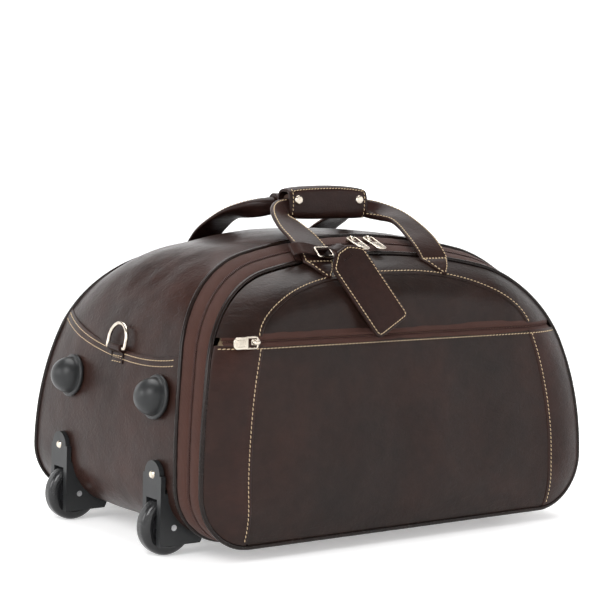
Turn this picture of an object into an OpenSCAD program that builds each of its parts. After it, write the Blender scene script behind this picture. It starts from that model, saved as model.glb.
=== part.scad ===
// Wheeled leather holdall: a domed travel bag on two wheels, with a zipped front lid,
// two carrying handles, a luggage tag and a pull-out trolley handle.
// X runs along the bag (wheels at -X, trolley grip at +X), -Y is the front, Z is up.
// Lengths are millimetres. The origin is on the floor under the middle of the bag.

/* [Leather body] */
// Half of the leather body's length
half_len = 250; // [246:1:254]
// Height of the leather bottom above the floor
floor_gap = 16; // [14:1:18]
// Radius of the two lower corners
corner_r = 58; // [56:1:60]
// Radius of the nearly upright sides
side_r = 445; // [440:1:450]
// Radius of the rounded shoulders
shoulder_r = 120; // [118:1:122]
// Half of the body's depth at the bottom seam
half_depth = 168; // [166:1:170]
// How far the seam leans back between the bottom and the top
lean = 69; // [66:1:70]
// Depth of the front face at its fullest, from the middle of the bag
face_depth = 177; // [176:1:178]
// Thickness of the leather
leather = 2.4; // [2:0.2:2.6]

/* [Zips] */
// Width of the closed main zip, tape edge to tape edge
zip_w = 40; // [39:1:41]
// Radius of the piping cords
piping_r = 2.5; // [2.3:0.1:2.6]
// Height of the pocket zip above the floor
pocket_z = 217; // [215:1:219]

/* [Wheels] */
// Radius of the wheels
wheel_r = 30; // [29:0.5:30]
// Width of the tyres
wheel_w = 18; // [17:0.5:18]
// Distance of each wheel from the middle of the bag
wheel_y = 95; // [92:1:98]
// Radius of the axles
axle_r = 3; // [3:0.1:3.2]

/* [Trolley] */
// Distance of each trolley tube from the middle of the bag
tube_y = 55; // [52:1:56]
// Height of the trolley tubes above the floor
tube_z = 44; // [43:1:45]
// Outer radius of the fixed sleeves, the middle tubes and the inner tubes
sleeve_r = 9; // [9:0.1:9.2]
mid_tube_r = 7.4; // [7.3:0.1:7.4]
top_tube_r = 5.8; // [5.7:0.1:5.8]

/* [Handles] */
// Width of the carrying straps
strap_w = 38; // [36:1:38]
// Distance of each strap's end from the middle of the bag
anchor_x = 77; // [76:1:79]
// Half of the length of the leather wrap round the grip
wrap_half = 50; // [48:1:50]

/* [Hidden] */

clear = 0.3;                       // gap between neighbouring pieces
seam_gap = piping_r + 0.2;         // how far each panel stops short of a seam line
side_turn = 16;                    // the sides end where they have turned this far
shoulder_turn = 78;                // the shoulders end where they have turned this far
lean_power = 3.07;
mid_z = floor_gap + corner_r;      // the corners end and the sides begin here
side_c = [half_len - side_r, mid_z];
shoulder_c = side_c + (side_r - shoulder_r) * [cos(side_turn), sin(side_turn)];
top_r = shoulder_r + shoulder_c.x / cos(shoulder_turn);
top_c = [0, shoulder_c.y - (top_r - shoulder_r) * sin(shoulder_turn)];
top_z = top_c.y + top_r;           // the seam's highest point
corner_x = half_len - corner_r;
side_crown = 6;                    // how far the ends bulge between the seams
top_crown = 20;                    // how far the top bulges between the seams
roll_w = 45;                       // width of the front's and back's rolled edge
coil_w = 2;                        // half of the zip's row of teeth
mid_zip = zip_w / 2;

// ---- the outline of the body, seen from the front ----

// Point of the right half of the outline where its normal has turned t degrees above level
function outline(t) =
    t < 0 ? [corner_x + corner_r * cos(t), mid_z + corner_r * sin(t)] :
    t < side_turn ? side_c + side_r * [cos(t), sin(t)] :
    t < shoulder_turn ? shoulder_c + shoulder_r * [cos(t), sin(t)] :
    top_c + top_r * [cos(t), sin(t)];

// A station of the outline is [x, z, normal x, normal z]
function station(t) = [outline(t).x, outline(t).y, cos(t), sin(t)];
function flip(s) = [-s[0], s[1], -s[2], s[3]];
function backwards(list) = [for (i = [len(list) - 1:-1:0]) list[i]];

corner_turns = [-90, -75, -60, -45, -30, -15];
side_turns = [0, 4, 8, 12];
shoulder_turns = [16, 23.75, 31.5, 39.25, 47, 54.75, 62.5, 70.25];
top_turns = [78, 81, 84, 87];
right_end = [for (t = concat(corner_turns, side_turns, [side_turn])) station(t)];
right_top = [for (t = concat(shoulder_turns, top_turns)) station(t)];
top_middle = [station(90)];
bottom = [for (x = [-150:50:150]) [x, floor_gap, 0, -1]];
yoke_stations = concat(right_top, top_middle, backwards([for (s = right_top) flip(s)]));
left_end = backwards([for (s = right_end) flip(s)]);
base_stations = concat([left_end[len(left_end) - 1]], bottom, [right_end[0]]);
all_stations = concat(bottom, [for (i = [0:len(right_end) - 2]) right_end[i]], yoke_stations,
                      [for (i = [1:len(left_end) - 1]) left_end[i]]);

// Half depth of the body at the seam, at height z
function seam_y(z) = half_depth - lean * pow(z / top_z, lean_power);

// How far the gusset bulges at a station, half way between the seams
function crown(s) =
    s[3] <= -1 ? 0 :
    s[3] < 0 ? side_crown * s[2] * s[2] :
    side_crown + (top_crown - side_crown) * s[3];

// Point of the gusset at a station; v is -1 at the front seam and 1 at the back seam
function gusset(s, v, off) =
    let (b = crown(s) * (1 - pow(abs(v), 3)) + off)
    [(abs(s[0]) < 0.001 ? 0 : s[0]) + s[2] * b, v * seam_y(s[1]), s[1] + s[3] * b];

// The same, counted in millimetres back from the front seam
function gusset_mm(s, mm, off) = gusset(s, -1 + mm / seam_y(s[1]), off);

// ---- the bulging front and back faces ----

// Distance of a point of the face from the outline
function edge_dist(x, z) =
    let (p = [abs(x), z], up = atan2(z - shoulder_c.y, abs(x) - shoulder_c.x))
    z < mid_z ? (abs(x) > corner_x ? corner_r - norm(p - [corner_x, mid_z])
                                   : min(z - floor_gap, half_len - abs(x))) :
    abs(x) <= shoulder_c.x && z < shoulder_c.y ? min(z - floor_gap, half_len - abs(x)) :
    up < side_turn ? side_r - norm(p - side_c) :
    up < shoulder_turn ? shoulder_r - norm(p - shoulder_c) :
    top_r - norm(p - top_c);

// How far the face stands out at height z, away from its rolled edge
function face_y(z) = face_depth - 37 * pow(z / 281, 2.5);

// Depth of the face at (x, z), from the middle of the bag
function face(x, z) =
    let (d = min(1, max(0, edge_dist(x, z)) / roll_w), w = 1 - pow(1 - d, 2), s = seam_y(z))
    s + (face_y(z) - s) * w;

// ---- solids from grids of points ----

// Closed solid between two grids that match point for point
module slab(front, back) {
    rows = len(front);
    cols = len(front[0]);
    n = rows * cols;
    polyhedron(
        points = concat([for (r = front) each r], [for (r = back) each r]),
        faces = concat(
            [for (i = [0:rows - 2], j = [0:cols - 2]) each
                let (a = i * cols + j, b = a + 1, c = a + cols, d = c + 1)
                [[a, b, d], [a, d, c], [n + a, n + d, n + b], [n + a, n + c, n + d]]],
            [for (j = [0:cols - 2]) each
                let (a = j, c = (rows - 1) * cols + j)
                [[a, n + a + 1, a + 1], [a, n + a, n + a + 1],
                 [c, c + 1, n + c + 1], [c, n + c + 1, n + c]]],
            [for (i = [0:rows - 2]) each
                let (a = i * cols, c = a + cols - 1)
                [[a, a + cols, n + a + cols], [a, n + a + cols, n + a],
                 [c, n + c, n + c + cols], [c, n + c + cols, c + cols]]]),
        convexity = 8);
}

// Closed tube through sections that go right round and meet the first again
module ring_loft(sections) {
    rows = len(sections);
    cols = len(sections[0]);
    polyhedron(
        points = [for (r = sections) each r],
        faces = [for (i = [0:rows - 1], j = [0:cols - 1]) each
            let (i2 = (i + 1) % rows, j2 = (j + 1) % cols,
                 a = i * cols + j, b = i * cols + j2, c = i2 * cols + j, d = i2 * cols + j2)
            [[a, b, d], [a, d, c]]],
        convexity = 8);
}

// Closed solid through sections, with a flat cap at each end
module loft(sections) {
    rows = len(sections);
    cols = len(sections[0]);
    last = (rows - 1) * cols;
    polyhedron(
        points = [for (r = sections) each r],
        faces = concat(
            [for (i = [0:rows - 2], j = [0:cols - 1]) each
                let (j2 = (j + 1) % cols,
                     a = i * cols + j, b = i * cols + j2, c = a + cols, d = b + cols)
                [[a, b, d], [a, d, c]]],
            [[for (j = [cols - 1:-1:0]) j], [for (j = [0:cols - 1]) last + j]]),
        convexity = 8);
}

// Part of the gusset between two distances from the front seam, in layers off0 (outer) and off1
module gusset_part(stations, v0, v1, steps, off0, off1) {
    slab([for (s = stations) [for (k = [0:steps]) gusset(s, v0 + (v1 - v0) * k / steps, off0)]],
         [for (s = stations) [for (k = [0:steps]) gusset(s, v0 + (v1 - v0) * k / steps, off1)]]);
}

// Gusset leather: it runs from the zip to the back seam
module gusset_leather(stations, steps) {
    rows = [for (s = stations)
        let (v0 = -1 + (zip_w + seam_gap) / seam_y(s[1]), v1 = 1 - seam_gap / seam_y(s[1]))
        [for (k = [0:steps]) v0 + (v1 - v0) * k / steps]];
    slab([for (i = [0:len(stations) - 1]) [for (v = rows[i]) gusset(stations[i], v, 0)]],
         [for (i = [0:len(stations) - 1]) [for (v = rows[i]) gusset(stations[i], v, -leather)]]);
}

// Strip of the zip round the whole opening, from mm0 to mm1 behind the front seam
module zip_ring(mm0, mm1, off0, off1) {
    ring_loft([for (s = all_stations)
        [gusset_mm(s, mm0, off0), gusset_mm(s, mm1, off0),
         gusset_mm(s, mm1, off1), gusset_mm(s, mm0, off1)]]);
}

// Piping cord mm behind the front seam
module piping(mm, back = false) {
    ring_loft([for (s = all_stations)
        let (c = back ? gusset(s, 1, 0) : gusset_mm(s, mm, 0))
        [for (k = [0:7]) c + piping_r * (cos(45 * k) * [0, 1, 0] + sin(45 * k) * [s[2], 0, s[3]])]]);
}

// Rings of the bulging face, from its seam to its middle, shifted out by off
rings_in = [0, 0.03, 0.07, 0.13, 0.22, 0.4, 0.7];
face_mid = [0, 150];
function face_ring(u, inset, side, off) =
    [for (s = all_stations)
        let (e = [s[0] - s[2] * inset, s[1] - s[3] * inset], p = face_mid + (e - face_mid) * (1 - u))
        [p.x, side * (face(p.x, p.y) + off), p.y]];

// A whole bulging face; side is -1 for the front and 1 for the back
module face_dish(side, inset, off0, off1) {
    n = len(all_stations);
    m = len(rings_in);
    outer = [for (u = rings_in) each face_ring(u, inset, side, off0)];
    inner = [for (u = rings_in) each face_ring(u, inset, side, off1)];
    centre = side * (face(face_mid.x, face_mid.y) + off0);
    c0 = 2 * n * m;
    walls = concat(
        [for (r = [0:m - 2], j = [0:n - 1]) each
            let (j2 = (j + 1) % n, a = r * n + j, b = r * n + j2, c = a + n, d = b + n, k = n * m)
            [[a, d, b], [a, c, d], [k + a, k + b, k + d], [k + a, k + d, k + c]]],
        [for (j = [0:n - 1]) each
            let (j2 = (j + 1) % n, k = n * m, e = (m - 1) * n)
            [[j, j2, k + j2], [j, k + j2, k + j],
             [e + j, c0, e + j2], [k + e + j, k + e + j2, c0 + 1]]]);
    polyhedron(
        points = concat(outer, inner,
                        [[0, centre, face_mid.y], [0, centre - side * (off0 - off1), face_mid.y]]),
        faces = side > 0 ? [for (f = walls) backwards(f)] : walls,
        convexity = 8);
}

// Patch of the front face over a grid of [x, z] points, out to off0 and in to off1
module face_patch(grid, off0, off1) {
    slab([for (r = grid) [for (p = r) [p.x, -face(p.x, p.y) - off0, p.y]]],
         [for (r = grid) [for (p = r) [p.x, -face(p.x, p.y) - off1, p.y]]]);
}

// ---- leather case ----

// Room that each wheel housing takes out of the leather and the lining
module wheel_wells(grow) {
    for (side = [-1, 1])
        translate([-half_len - 20, side * wheel_y - 17.3 - grow, 0])
            cube([half_len - corner_x + 20 - 1, 34.6 + 2 * grow, 67]);
}

module base_panel() { color("#3a241d") gusset_leather(base_stations, 6); }
module end_panel_left() {
    color("#3d2620") difference() {
        gusset_leather(left_end, 8);
        wheel_wells(0);
    }
}
module end_panel_right() {
    color("#3d2620") difference() {
        gusset_leather(right_end, 8);
        bezel_block(clear, corner_x + 20, 60);
    }
}
module top_yoke() { color("#432a23") gusset_leather(yoke_stations, 8); }
module back_panel() { color("#3a241d") face_dish(1, seam_gap, 0, -leather); }
module rear_piping() { color("#241512") piping(0, true); }
module outer_piping() { color("#241512") piping(zip_w); }
module zip_tape_case() { color("#6b3a2a") zip_ring(mid_zip + coil_w, zip_w - seam_gap, -0.6, -1.8); }
module zip_coil_case() { color("#3a221b") zip_ring(mid_zip + clear / 2, mid_zip + coil_w, 0.4, -1.8); }
module lining_shell() {
    lining_v = function(s, mm) -1 + mm / seam_y(s[1]);
    color("#8a7560") difference() {
        ring_loft([for (s = all_stations)
            let (v0 = lining_v(s, zip_w + 8), v1 = 1 - 8 / seam_y(s[1]), off = -leather - 1.8)
            concat([for (k = [0:6]) gusset(s, v0 + (v1 - v0) * k / 6, off)],
                   [for (k = [6:-1:0]) gusset(s, v0 + (v1 - v0) * k / 6, off - 1)])]);
        wheel_wells(0.5);
        bezel_block(clear + 0.5, corner_x + 20, 60);
    }
}
module lining_back() { color("#8a7560") face_dish(1, seam_gap + 6, -leather - 4.5, -leather - 5.5); }

// Stiff board on the bottom, raised over the trolley sleeves
module base_board() {
    board_x = corner_x - 12;
    color("#1f1f1f") difference() {
        translate([-board_x, -120, floor_gap + 6])
            cube([2 * board_x, 240, tube_z + sleeve_r + 5 - floor_gap - 6]);
        translate([-board_x - 1, -116, floor_gap + 5])
            cube([2 * board_x + 2, 232, tube_z + sleeve_r + 2 - floor_gap - 5]);
    }
}

// ---- trolley ----

sleeve_x0 = -160;                  // inner end of the sleeves
bezel_x = 240;                     // inner face of the bezel
slide_gap = 0.08;                  // room round each tube inside the next
module tube_pair(x0, x1, r_out, r_in) {
    for (side = [-1, 1])
        translate([x0, side * tube_y, tube_z]) rotate([0, 90, 0]) difference() {
            cylinder(r = r_out, h = x1 - x0, $fn = 48);
            translate([0, 0, -1]) cylinder(r = r_in, h = x1 - x0 + 2, $fn = 48);
        }
}
module trolley_sleeves() {
    color("#a8a8aa") tube_pair(sleeve_x0, bezel_x + 5, sleeve_r, mid_tube_r + slide_gap);
}
module middle_tubes() {
    color("#b4b4b6") tube_pair(sleeve_x0 + 95, bezel_x + 12, mid_tube_r, top_tube_r + slide_gap);
}
module inner_tubes() {
    color("#bebec0") tube_pair(sleeve_x0 + 115, bezel_x + 16, top_tube_r, top_tube_r - 1.2);
}

bezel_h = 34;
module bezel_block(grow, x0, h) {
    translate([x0, 0, tube_z]) rotate([0, 90, 0]) linear_extrude(h) union() {
        square([bezel_h + 2 * grow, 2 * (tube_y + 14)], center = true);
        for (side = [-1, 1]) translate([0, side * (tube_y + 14)]) circle(r = bezel_h / 2 + grow, $fn = 64);
    }
}
module trolley_bezel() {
    color("#1c1c1d") difference() {
        bezel_block(0, bezel_x + 1, 15.5);
        for (side = [-1, 1])
            translate([bezel_x, side * tube_y, tube_z]) rotate([0, 90, 0])
                cylinder(r = sleeve_r + 0.02, h = 30, $fn = 48);
    }
}
grip_x0 = bezel_x + 17;
grip_x1 = half_len + 25;
module trolley_grip() {
    bar_r = (grip_x1 - grip_x0) / 2;
    color("#1a1a1b") difference() {
        hull() for (side = [-1, 1])
            translate([grip_x0 + bar_r, side * (tube_y + 6), tube_z]) sphere(r = bar_r, $fn = 28);
        translate([grip_x0 + bar_r, -13, tube_z - 6]) cube([40, 26, 12]);
        tube_room();
    }
}
module tube_room() {
    for (side = [-1, 1])
        translate([grip_x0 - 5, side * tube_y, tube_z]) rotate([0, 90, 0])
            cylinder(r = top_tube_r + 0.02, h = 4 + bezel_x + 16 - grip_x0 + 1, $fn = 48);
}
module trolley_button() {
    color("#5a5a5c") translate([grip_x0 + 9 + 3.3, -12.5, tube_z - 5.5]) cube([5.6, 25, 11]);
}

// ---- wheels, housings and feet ----

axle_x = -(half_len + 25 - wheel_r);
module at_wheel(side) { translate([axle_x, side * wheel_y, wheel_r]) rotate([-90, 0, 0]) children(); }

plate_x = -261;                    // outer face of the housing's plate on the bag's end
plate_t = 5.2;
rivet_z = 82;

// Outline of a housing from the side: fender, tongue and ears
module housing_side() {
    translate([axle_x, wheel_r]) circle(r = 12, $fn = 48);
    difference() {
        union() {
            translate([axle_x, wheel_r]) circle(r = 36, $fn = 96);
            translate([plate_x, wheel_r + 18]) square([plate_t, 34]);
        }
        translate([axle_x - 40, -20]) square([plate_x - axle_x + 40, 140]);
        translate([axle_x - 50, -20]) square([120, 32]);
    }
}
module wheel_housing(side) {
    color("#171717") difference() {
        union() {
            translate([0, side * wheel_y + 17, 0]) rotate([90, 0, 0]) linear_extrude(34) housing_side();
            translate([plate_x, side * wheel_y, rivet_z]) rotate([0, 90, 0])
                cylinder(r = 14, h = plate_t, $fn = 48);
        }
        at_wheel(side) translate([0, 0, -wheel_w / 2 - 1])
            cylinder(r = wheel_r + 2.5, h = wheel_w + 2, $fn = 96);
        at_wheel(side) translate([0, 0, -20]) cylinder(r = axle_r, h = 40, $fn = 32);
        translate([plate_x - 1, side * wheel_y, rivet_z]) rotate([0, 90, 0])
            cylinder(r = 2, h = 20, $fn = 32);
    }
}
module axles() {
    color("#9a9a9c") for (side = [-1, 1])
        at_wheel(side) translate([0, 0, -17.5]) cylinder(r = axle_r, h = 35, $fn = 32);
}
module housing_rivets() {
    color("#b8a58a") for (side = [-1, 1])
        translate([plate_x, side * wheel_y, rivet_z]) rotate([0, 90, 0]) {
        cylinder(r = 2, h = 5, $fn = 32);
        translate([0, 0, -1.6]) cylinder(r1 = 3, r2 = 4.3, h = 1.6, $fn = 32);
    }
}
module tyre(side) {
    color("#141414") at_wheel(side) rotate_extrude($fn = 96) difference() {
        union() {
            translate([19, -wheel_w / 2]) square([wheel_r - 19 - 5, wheel_w]);
            translate([wheel_r - 7, -wheel_w / 2 + 2]) square([7, wheel_w - 4]);
            for (s = [-1, 1]) translate([wheel_r - 7, s * (wheel_w / 2 - 7)]) circle(r = 7, $fn = 48);
        }
        translate([wheel_r, -50]) square(100);
        translate([0, -50]) square([19, 100]);
    }
}
module hub(side) {
    color("#242424") at_wheel(side) difference() {
        union() {
            cylinder(r = 18.95, h = 3, center = true, $fn = 96);
            difference() {
                cylinder(r = 18.95, h = wheel_w - 3, center = true, $fn = 96);
                cylinder(r = 15.5, h = wheel_w, center = true, $fn = 96);
            }
            cylinder(r = 7, h = wheel_w + 1, center = true, $fn = 64);
        }
        cylinder(r = axle_r + 0.05, h = 40, center = true, $fn = 48);
        for (a = [0:60:300]) rotate([0, 0, a]) translate([11.2, 0, 0])
            cylinder(r = 2.8, h = 20, center = true, $fn = 32);
    }
}
bumper_z = 157;
bumper_y = 85;
module bumper(side) {
    color("#161616") translate([-251.3, side * bumper_y, bumper_z]) rotate([0, -80.6, 0]) {
        cylinder(r = 22.5, h = 4, $fn = 64);
        translate([0, 0, 5]) intersection() {
            sphere(r = 19, $fn = 48);
            translate([0, 0, -3]) cylinder(r = 30, h = 24, $fn = 48);
        }
    }
}
foot_x = 178;
module skid_feet() {
    color("#161616") for (side = [-1, 1]) translate([foot_x, side * 105, 0])
        cylinder(r1 = 9, r2 = 13, h = floor_gap - clear, $fn = 48);
}

// ---- shoulder-strap rings ----

ring_z = 197;                      // height of the ring's pivot
ring_x = 249;                      // distance of the ring's pivot from the middle of the bag
ring_wire = 2;
ring_lean = 12;
module ring_tab(side) {
    color("#2e1b16") translate([side * ring_x, 0, ring_z]) difference() {
        union() {
            rotate([90, 0, 0]) cylinder(r = ring_wire + 2, h = 24, center = true, $fn = 48);
            translate([side < 0 ? -0.4 : -2.4, -12, -16]) cube([2.8, 24, 14]);
        }
        rotate([90, 0, 0]) cylinder(r = ring_wire + 0.1, h = 40, center = true, $fn = 48);
    }
}
module d_ring(side) {
    reach = 17;
    color("#c9bda6") translate([side * ring_x, 0, ring_z]) rotate([0, -side * ring_lean, 0]) {
        rotate([90, 0, 0]) cylinder(r = ring_wire, h = 2 * reach, center = true, $fn = 48);
        for (s = [-1, 1]) translate([0, s * reach, 0]) {
            sphere(r = ring_wire, $fn = 48);
            cylinder(r = ring_wire, h = 8, $fn = 48);
        }
        translate([0, 0, 8]) rotate([90, 0, 90]) rotate_extrude(angle = 180, $fn = 64)
            translate([reach, 0]) circle(r = ring_wire, $fn = 48);
    }
}

// ---- lid ----

zip_low = pocket_z - 4;            // lower edge of the pocket zip's opening
zip_high = pocket_z + 4;
band_gap = seam_gap + 0.4;
band_turn0 = asin((zip_high - shoulder_c.y) / (shoulder_r - band_gap));
low_turn = asin((zip_low - shoulder_c.y) / shoulder_r);
arch_x = 176;                      // half width of the arch where it meets the pocket zip
arch_h = 56;                       // height of the arch above the pocket zip

// Point of the arch's right half, a degrees round from the pocket zip
function arch(a) = [arch_x * pow(cos(a), 0.8), zip_high + arch_h * pow(sin(a), 1.224)];
function inward(t, w) = outline(t) - w * [cos(t), sin(t)];
function across(p, q, n) = [for (k = [0:n]) p + (q - p) * k / n];
function mirror_x(row) = [for (p = row) [-p.x, p.y]];

band_right = [for (a = [0:7.5:90])
    across(inward(band_turn0 + (90 - band_turn0) * a / 90, band_gap), arch(a), 4)];
band_left = [for (i = [len(band_right) - 2:-1:0]) mirror_x(band_right[i])];
module front_band() { color("#3f2721") face_patch(concat(band_right, band_left), 0, -leather); }

center_right = [for (a = [7.5:7.5:90])
    let (p = arch(a) - 1.3 * clear * [1, 1])
    across(p, [p.x, zip_high], 5)];
center_left = [for (i = [len(center_right) - 2:-1:0]) mirror_x(center_right[i])];
module front_center_panel() {
    color("#3a231d") face_patch(concat(center_right, center_left), -0.8, -0.8 - leather);
}

// Where the side bands meet the pocket panel: they run beside the outline, then lean in a little
line_turn_z = 196;
function side_line(z) =
    z < mid_z ? half_len - 50 :
    side_c.x + sqrt(pow(side_r, 2) - pow(min(z, line_turn_z) - mid_z, 2)) - 50
    - max(0, z - line_turn_z) * 0.3;
module pocket_panel() {
    heights = [floor_gap + seam_gap, 24, 34, 50, 74, 110, 150, 185, zip_low];
    color("#37221c") face_patch(
        [for (z = backwards(heights)) [for (k = [-8:8]) [side_line(z) * k / 8, z]]], 0, -leather);
}
module pocket_side_bands() {
    turns = [-72, -60, -45, -30, -15, 0, 4, 8, 12, 16];
    gap = seam_gap + 0.7;
    rows = concat([for (t = turns) let (p = inward(t, gap)) across(p, [side_line(p.y) + clear, p.y], 4)],
                  [across([outline(low_turn).x - gap - 1, zip_low],
                          [side_line(zip_low) + clear, zip_low], 4)]);
    color("#3a241e") {
        face_patch(rows, 0, -leather);
        face_patch([for (r = backwards(rows)) mirror_x(r)], 0, -leather);
    }
}
module pocket_zip_tape() {
    reach = outline(band_turn0).x - seam_gap - 2;
    color("#6b3a2a") face_patch(
        [for (z = [zip_high - clear, pocket_z + 1.6, pocket_z - 1.6, zip_low + clear])
            [for (k = [-8:8]) [reach * k / 8, z]]], -0.4, -1.8);
}
module inner_piping() { color("#241512") piping(0); }
module zip_tape_lid() { color("#6b3a2a") zip_ring(seam_gap, mid_zip - coil_w, -0.6, -1.8); }
module zip_coil_lid() { color("#3a221b") zip_ring(mid_zip - coil_w, mid_zip - clear / 2, 0.4, -1.8); }
module lid_lining() { color("#8a7560") face_dish(-1, seam_gap + 6, -leather - 5, -leather - 6); }

// ---- carrying handles ----

strap_t = 3;
grip_y = -12.8;                    // the front grip's centre
grip_z = 345;
rear_shift = 1.2;                  // the rear grip stands this much further from the middle
pivot_y = -101;                    // the front strap bends here
pivot_z = 301.8;
rise = 39;                         // the strap rises this steeply at the bend

function unit(v) = v / norm(v);
function strap_section(c, dir, w_dir, w, t) =
    let (o = unit(cross(w_dir, dir)), a = unit(cross(dir, o)), k = min(w, t) * 0.25)
    [for (p = [[1, 0.5], [0.5, 1], [-0.5, 1], [-1, 0.5], [-1, -0.5], [-0.5, -1], [0.5, -1], [1, -0.5]])
        let (u = abs(p.x) == 1 ? sign(p.x) * w / 2 : sign(p.x) * (w / 2 - k),
             v = abs(p.y) == 1 ? sign(p.y) * t / 2 : sign(p.y) * (t / 2 - k))
        c + a * u + o * v];
function path_dir(rows, i) =
    unit(rows[min(i + 1, len(rows) - 1)][0] - rows[max(i - 1, 0)][0]);
function strap_path(rows) =
    [for (i = [0:len(rows) - 1])
        strap_section(rows[i][0], path_dir(rows, i), rows[i][1], rows[i][2], rows[i][3])];

// Point above the front face, out along its normal
function off_face(x, z, off) =
    let (d = face(x, z + 0.5) - face(x, z - 0.5), n = unit([0, -1, -d]))
    [x, -face(x, z), z] + off * n;

// Sewn end of a strap: its point lies on the face, then it rises over the piping to the bend
anchor_rows = concat(
    [for (e = [[276, 10], [280, 20], [284.5, 30], [287.5, strap_w]])
        [off_face(anchor_x, e[0], 2.7), [1, 0, 0], e[1], strap_t]],
    [[[anchor_x, -110.3, 292.6], [1, 0, 0], strap_w, strap_t],
     [[anchor_x, pivot_y - 2.2 * cos(rise), pivot_z - 2.2 * sin(rise)], [1, 0, 0], strap_w, strap_t]]);
module strap_ends() { for (m = [0, 1]) mirror([m, 0, 0]) loft(strap_path(anchor_rows)); }

// Free part of a strap: each leg narrows and turns into the rolled grip
leg_rows = [
    [[anchor_x, pivot_y + 2.2 * cos(rise), pivot_z + 2.2 * sin(rise)], [1, 0, 0], strap_w, strap_t],
    [[anchor_x + 1, -86, 312], [1, 0.03, 0.02], strap_w, strap_t],
    [[anchor_x + 2, -68, 321.5], [1, 0.1, 0.06], 35, 3.5],
    [[anchor_x, -49, 330], [0.93, 0.25, 0.25], 29, 5],
    [[anchor_x - 7, -31, 335], [0.7, 0.35, 0.6], 24, 8],
    [[anchor_x - 18, -18, 338.5], [0.3, 0.3, 0.9], 21, 13],
    [[46, grip_y, grip_z - 4], [0, 0.05, 1], 19, 17]];
module free_strap() { for (m = [0, 1]) mirror([m, 0, 0]) loft(strap_path(leg_rows)); }
module grip_core() {
    translate([-45.6, grip_y, grip_z]) rotate([0, 90, 0]) cylinder(r = 9, h = 91.2, $fn = 48);
}

module front_anchors() { color("#33201a") strap_ends(); }
module rear_anchors() { color("#33201a") mirror([0, 1, 0]) strap_ends(); }
module front_strap() { color("#33201a") free_strap(); }
module front_grip_core() { color("#2c1b16") grip_core(); }
module rear_strap() { color("#33201a") translate([0, rear_shift, 0]) mirror([0, 1, 0]) free_strap(); }
module rear_grip_core() { color("#2c1b16") translate([0, rear_shift, 0]) mirror([0, 1, 0]) grip_core(); }

wrap_h = 34;
wrap_d = 25;
module wrap_outline(h, d, r) {
    for (a = [-1, 1], b = [-1, 1]) translate([a * (h / 2 - r), b * (d / 2 - r)]) circle(r = r, $fn = 48);
    square([h - 2 * r, d], center = true);
    square([h, d - 2 * r], center = true);
}
module grip_wrap() {
    color("#2f1d18") translate([-wrap_half, grip_y, grip_z]) rotate([0, 90, 0]) linear_extrude(2 * wrap_half)
        difference() {
            wrap_outline(wrap_h, wrap_d, 9);
            wrap_outline(wrap_h - 6, wrap_d - 5, 6.5);
        }
}
snap_x = 41;
module wrap_snaps() {
    color("#c9bda6") for (side = [-1, 1])
        translate([side * snap_x, grip_y - wrap_d / 2, grip_z + 2]) rotate([90, 0, 0]) {
            translate([0, 0, -2.4]) cylinder(r = 1.8, h = 3, $fn = 32);
            intersection() {
                translate([0, 0, -7.2]) sphere(r = 8.8, $fn = 64);
                cylinder(r = 5, h = 5, $fn = 64);
            }
        }
}

// ---- luggage tag ----

tag_x = -anchor_x + 3;             // middle of the tag's strap
tag_pivot = [tag_x, -113.5, 300.6];
loop_rise = 45.7;                  // slope of the strap inside the tag's loop
tag_top = [-63, -130.6, 304.5];
tag_tilt = -24;                    // it leans out with the face
tag_swing = -27;                   // it hangs this far to one side
tag_w = 52;
tag_len = 98;
module tag_loop() {
    color("#2c1b16") translate([-anchor_x, -106.5, 296.5]) rotate([loop_rise, 0, 0]) difference() {
        translate([-strap_w / 2 - 1.8, -4, -2.9]) cube([strap_w + 3.6, 8, 6.1]);
        translate([-strap_w / 2 - 0.3, -5, -1.8]) cube([strap_w + 0.6, 10, 3.6]);
    }
}
module tag_buckle() {
    color("#c9bda6") translate(tag_pivot) rotate([rise, 0, 0]) translate([0, -2, 0.5]) difference() {
        translate([-10, -8, 0]) cube([20, 15, 2]);
        translate([-7.5, -5.5, -1]) cube([15, 10, 4]);
    }
}
module tag_strap() {
    down = unit([sin(-tag_swing), cos(tag_swing) * sin(tag_tilt), -cos(tag_swing) * cos(tag_tilt)]);
    color("#2c1b16") loft(strap_path([
        [tag_pivot + [0, -1, 1.2], [1, 0, 0], 14, 1.8],
        [tag_pivot + [2, -7, 3.6], [0.98, 0.06, 0.14], 14, 1.8],
        [tag_pivot + [6, -13, 5], [0.94, 0.12, 0.28], 14, 1.8],
        [tag_top - 0.4 * down, [0.89, 0.185, 0.415], 14, 1.8]]));
}
module tag_body() {
    color("#35211b") translate(tag_top)
        rotate([tag_tilt, 0, 0]) rotate([0, tag_swing, 0])
        translate([0, 1.75, 0]) rotate([90, 0, 0]) linear_extrude(3.5) {
            r = 7;
            for (s = [-1, 1]) {
                translate([s * (tag_w / 2 - r), -tag_len + r]) circle(r = r, $fn = 48);
                translate([s * (tag_w / 2 - r), -12 - r]) circle(r = r, $fn = 48);
            }
            translate([-tag_w / 2, -tag_len + r]) square([tag_w, tag_len - 12 - 2 * r]);
            translate([-tag_w / 2 + r, -tag_len]) square([tag_w - 2 * r, tag_len - 12]);
            polygon([[-tag_w / 2 + r, -14], [-tag_w / 2 + r, -12], [-8, -0.6],
                     [8, -0.6], [tag_w / 2 - r, -12], [tag_w / 2 - r, -14]]);
        }
}

// ---- sliders and pullers ----

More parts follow.
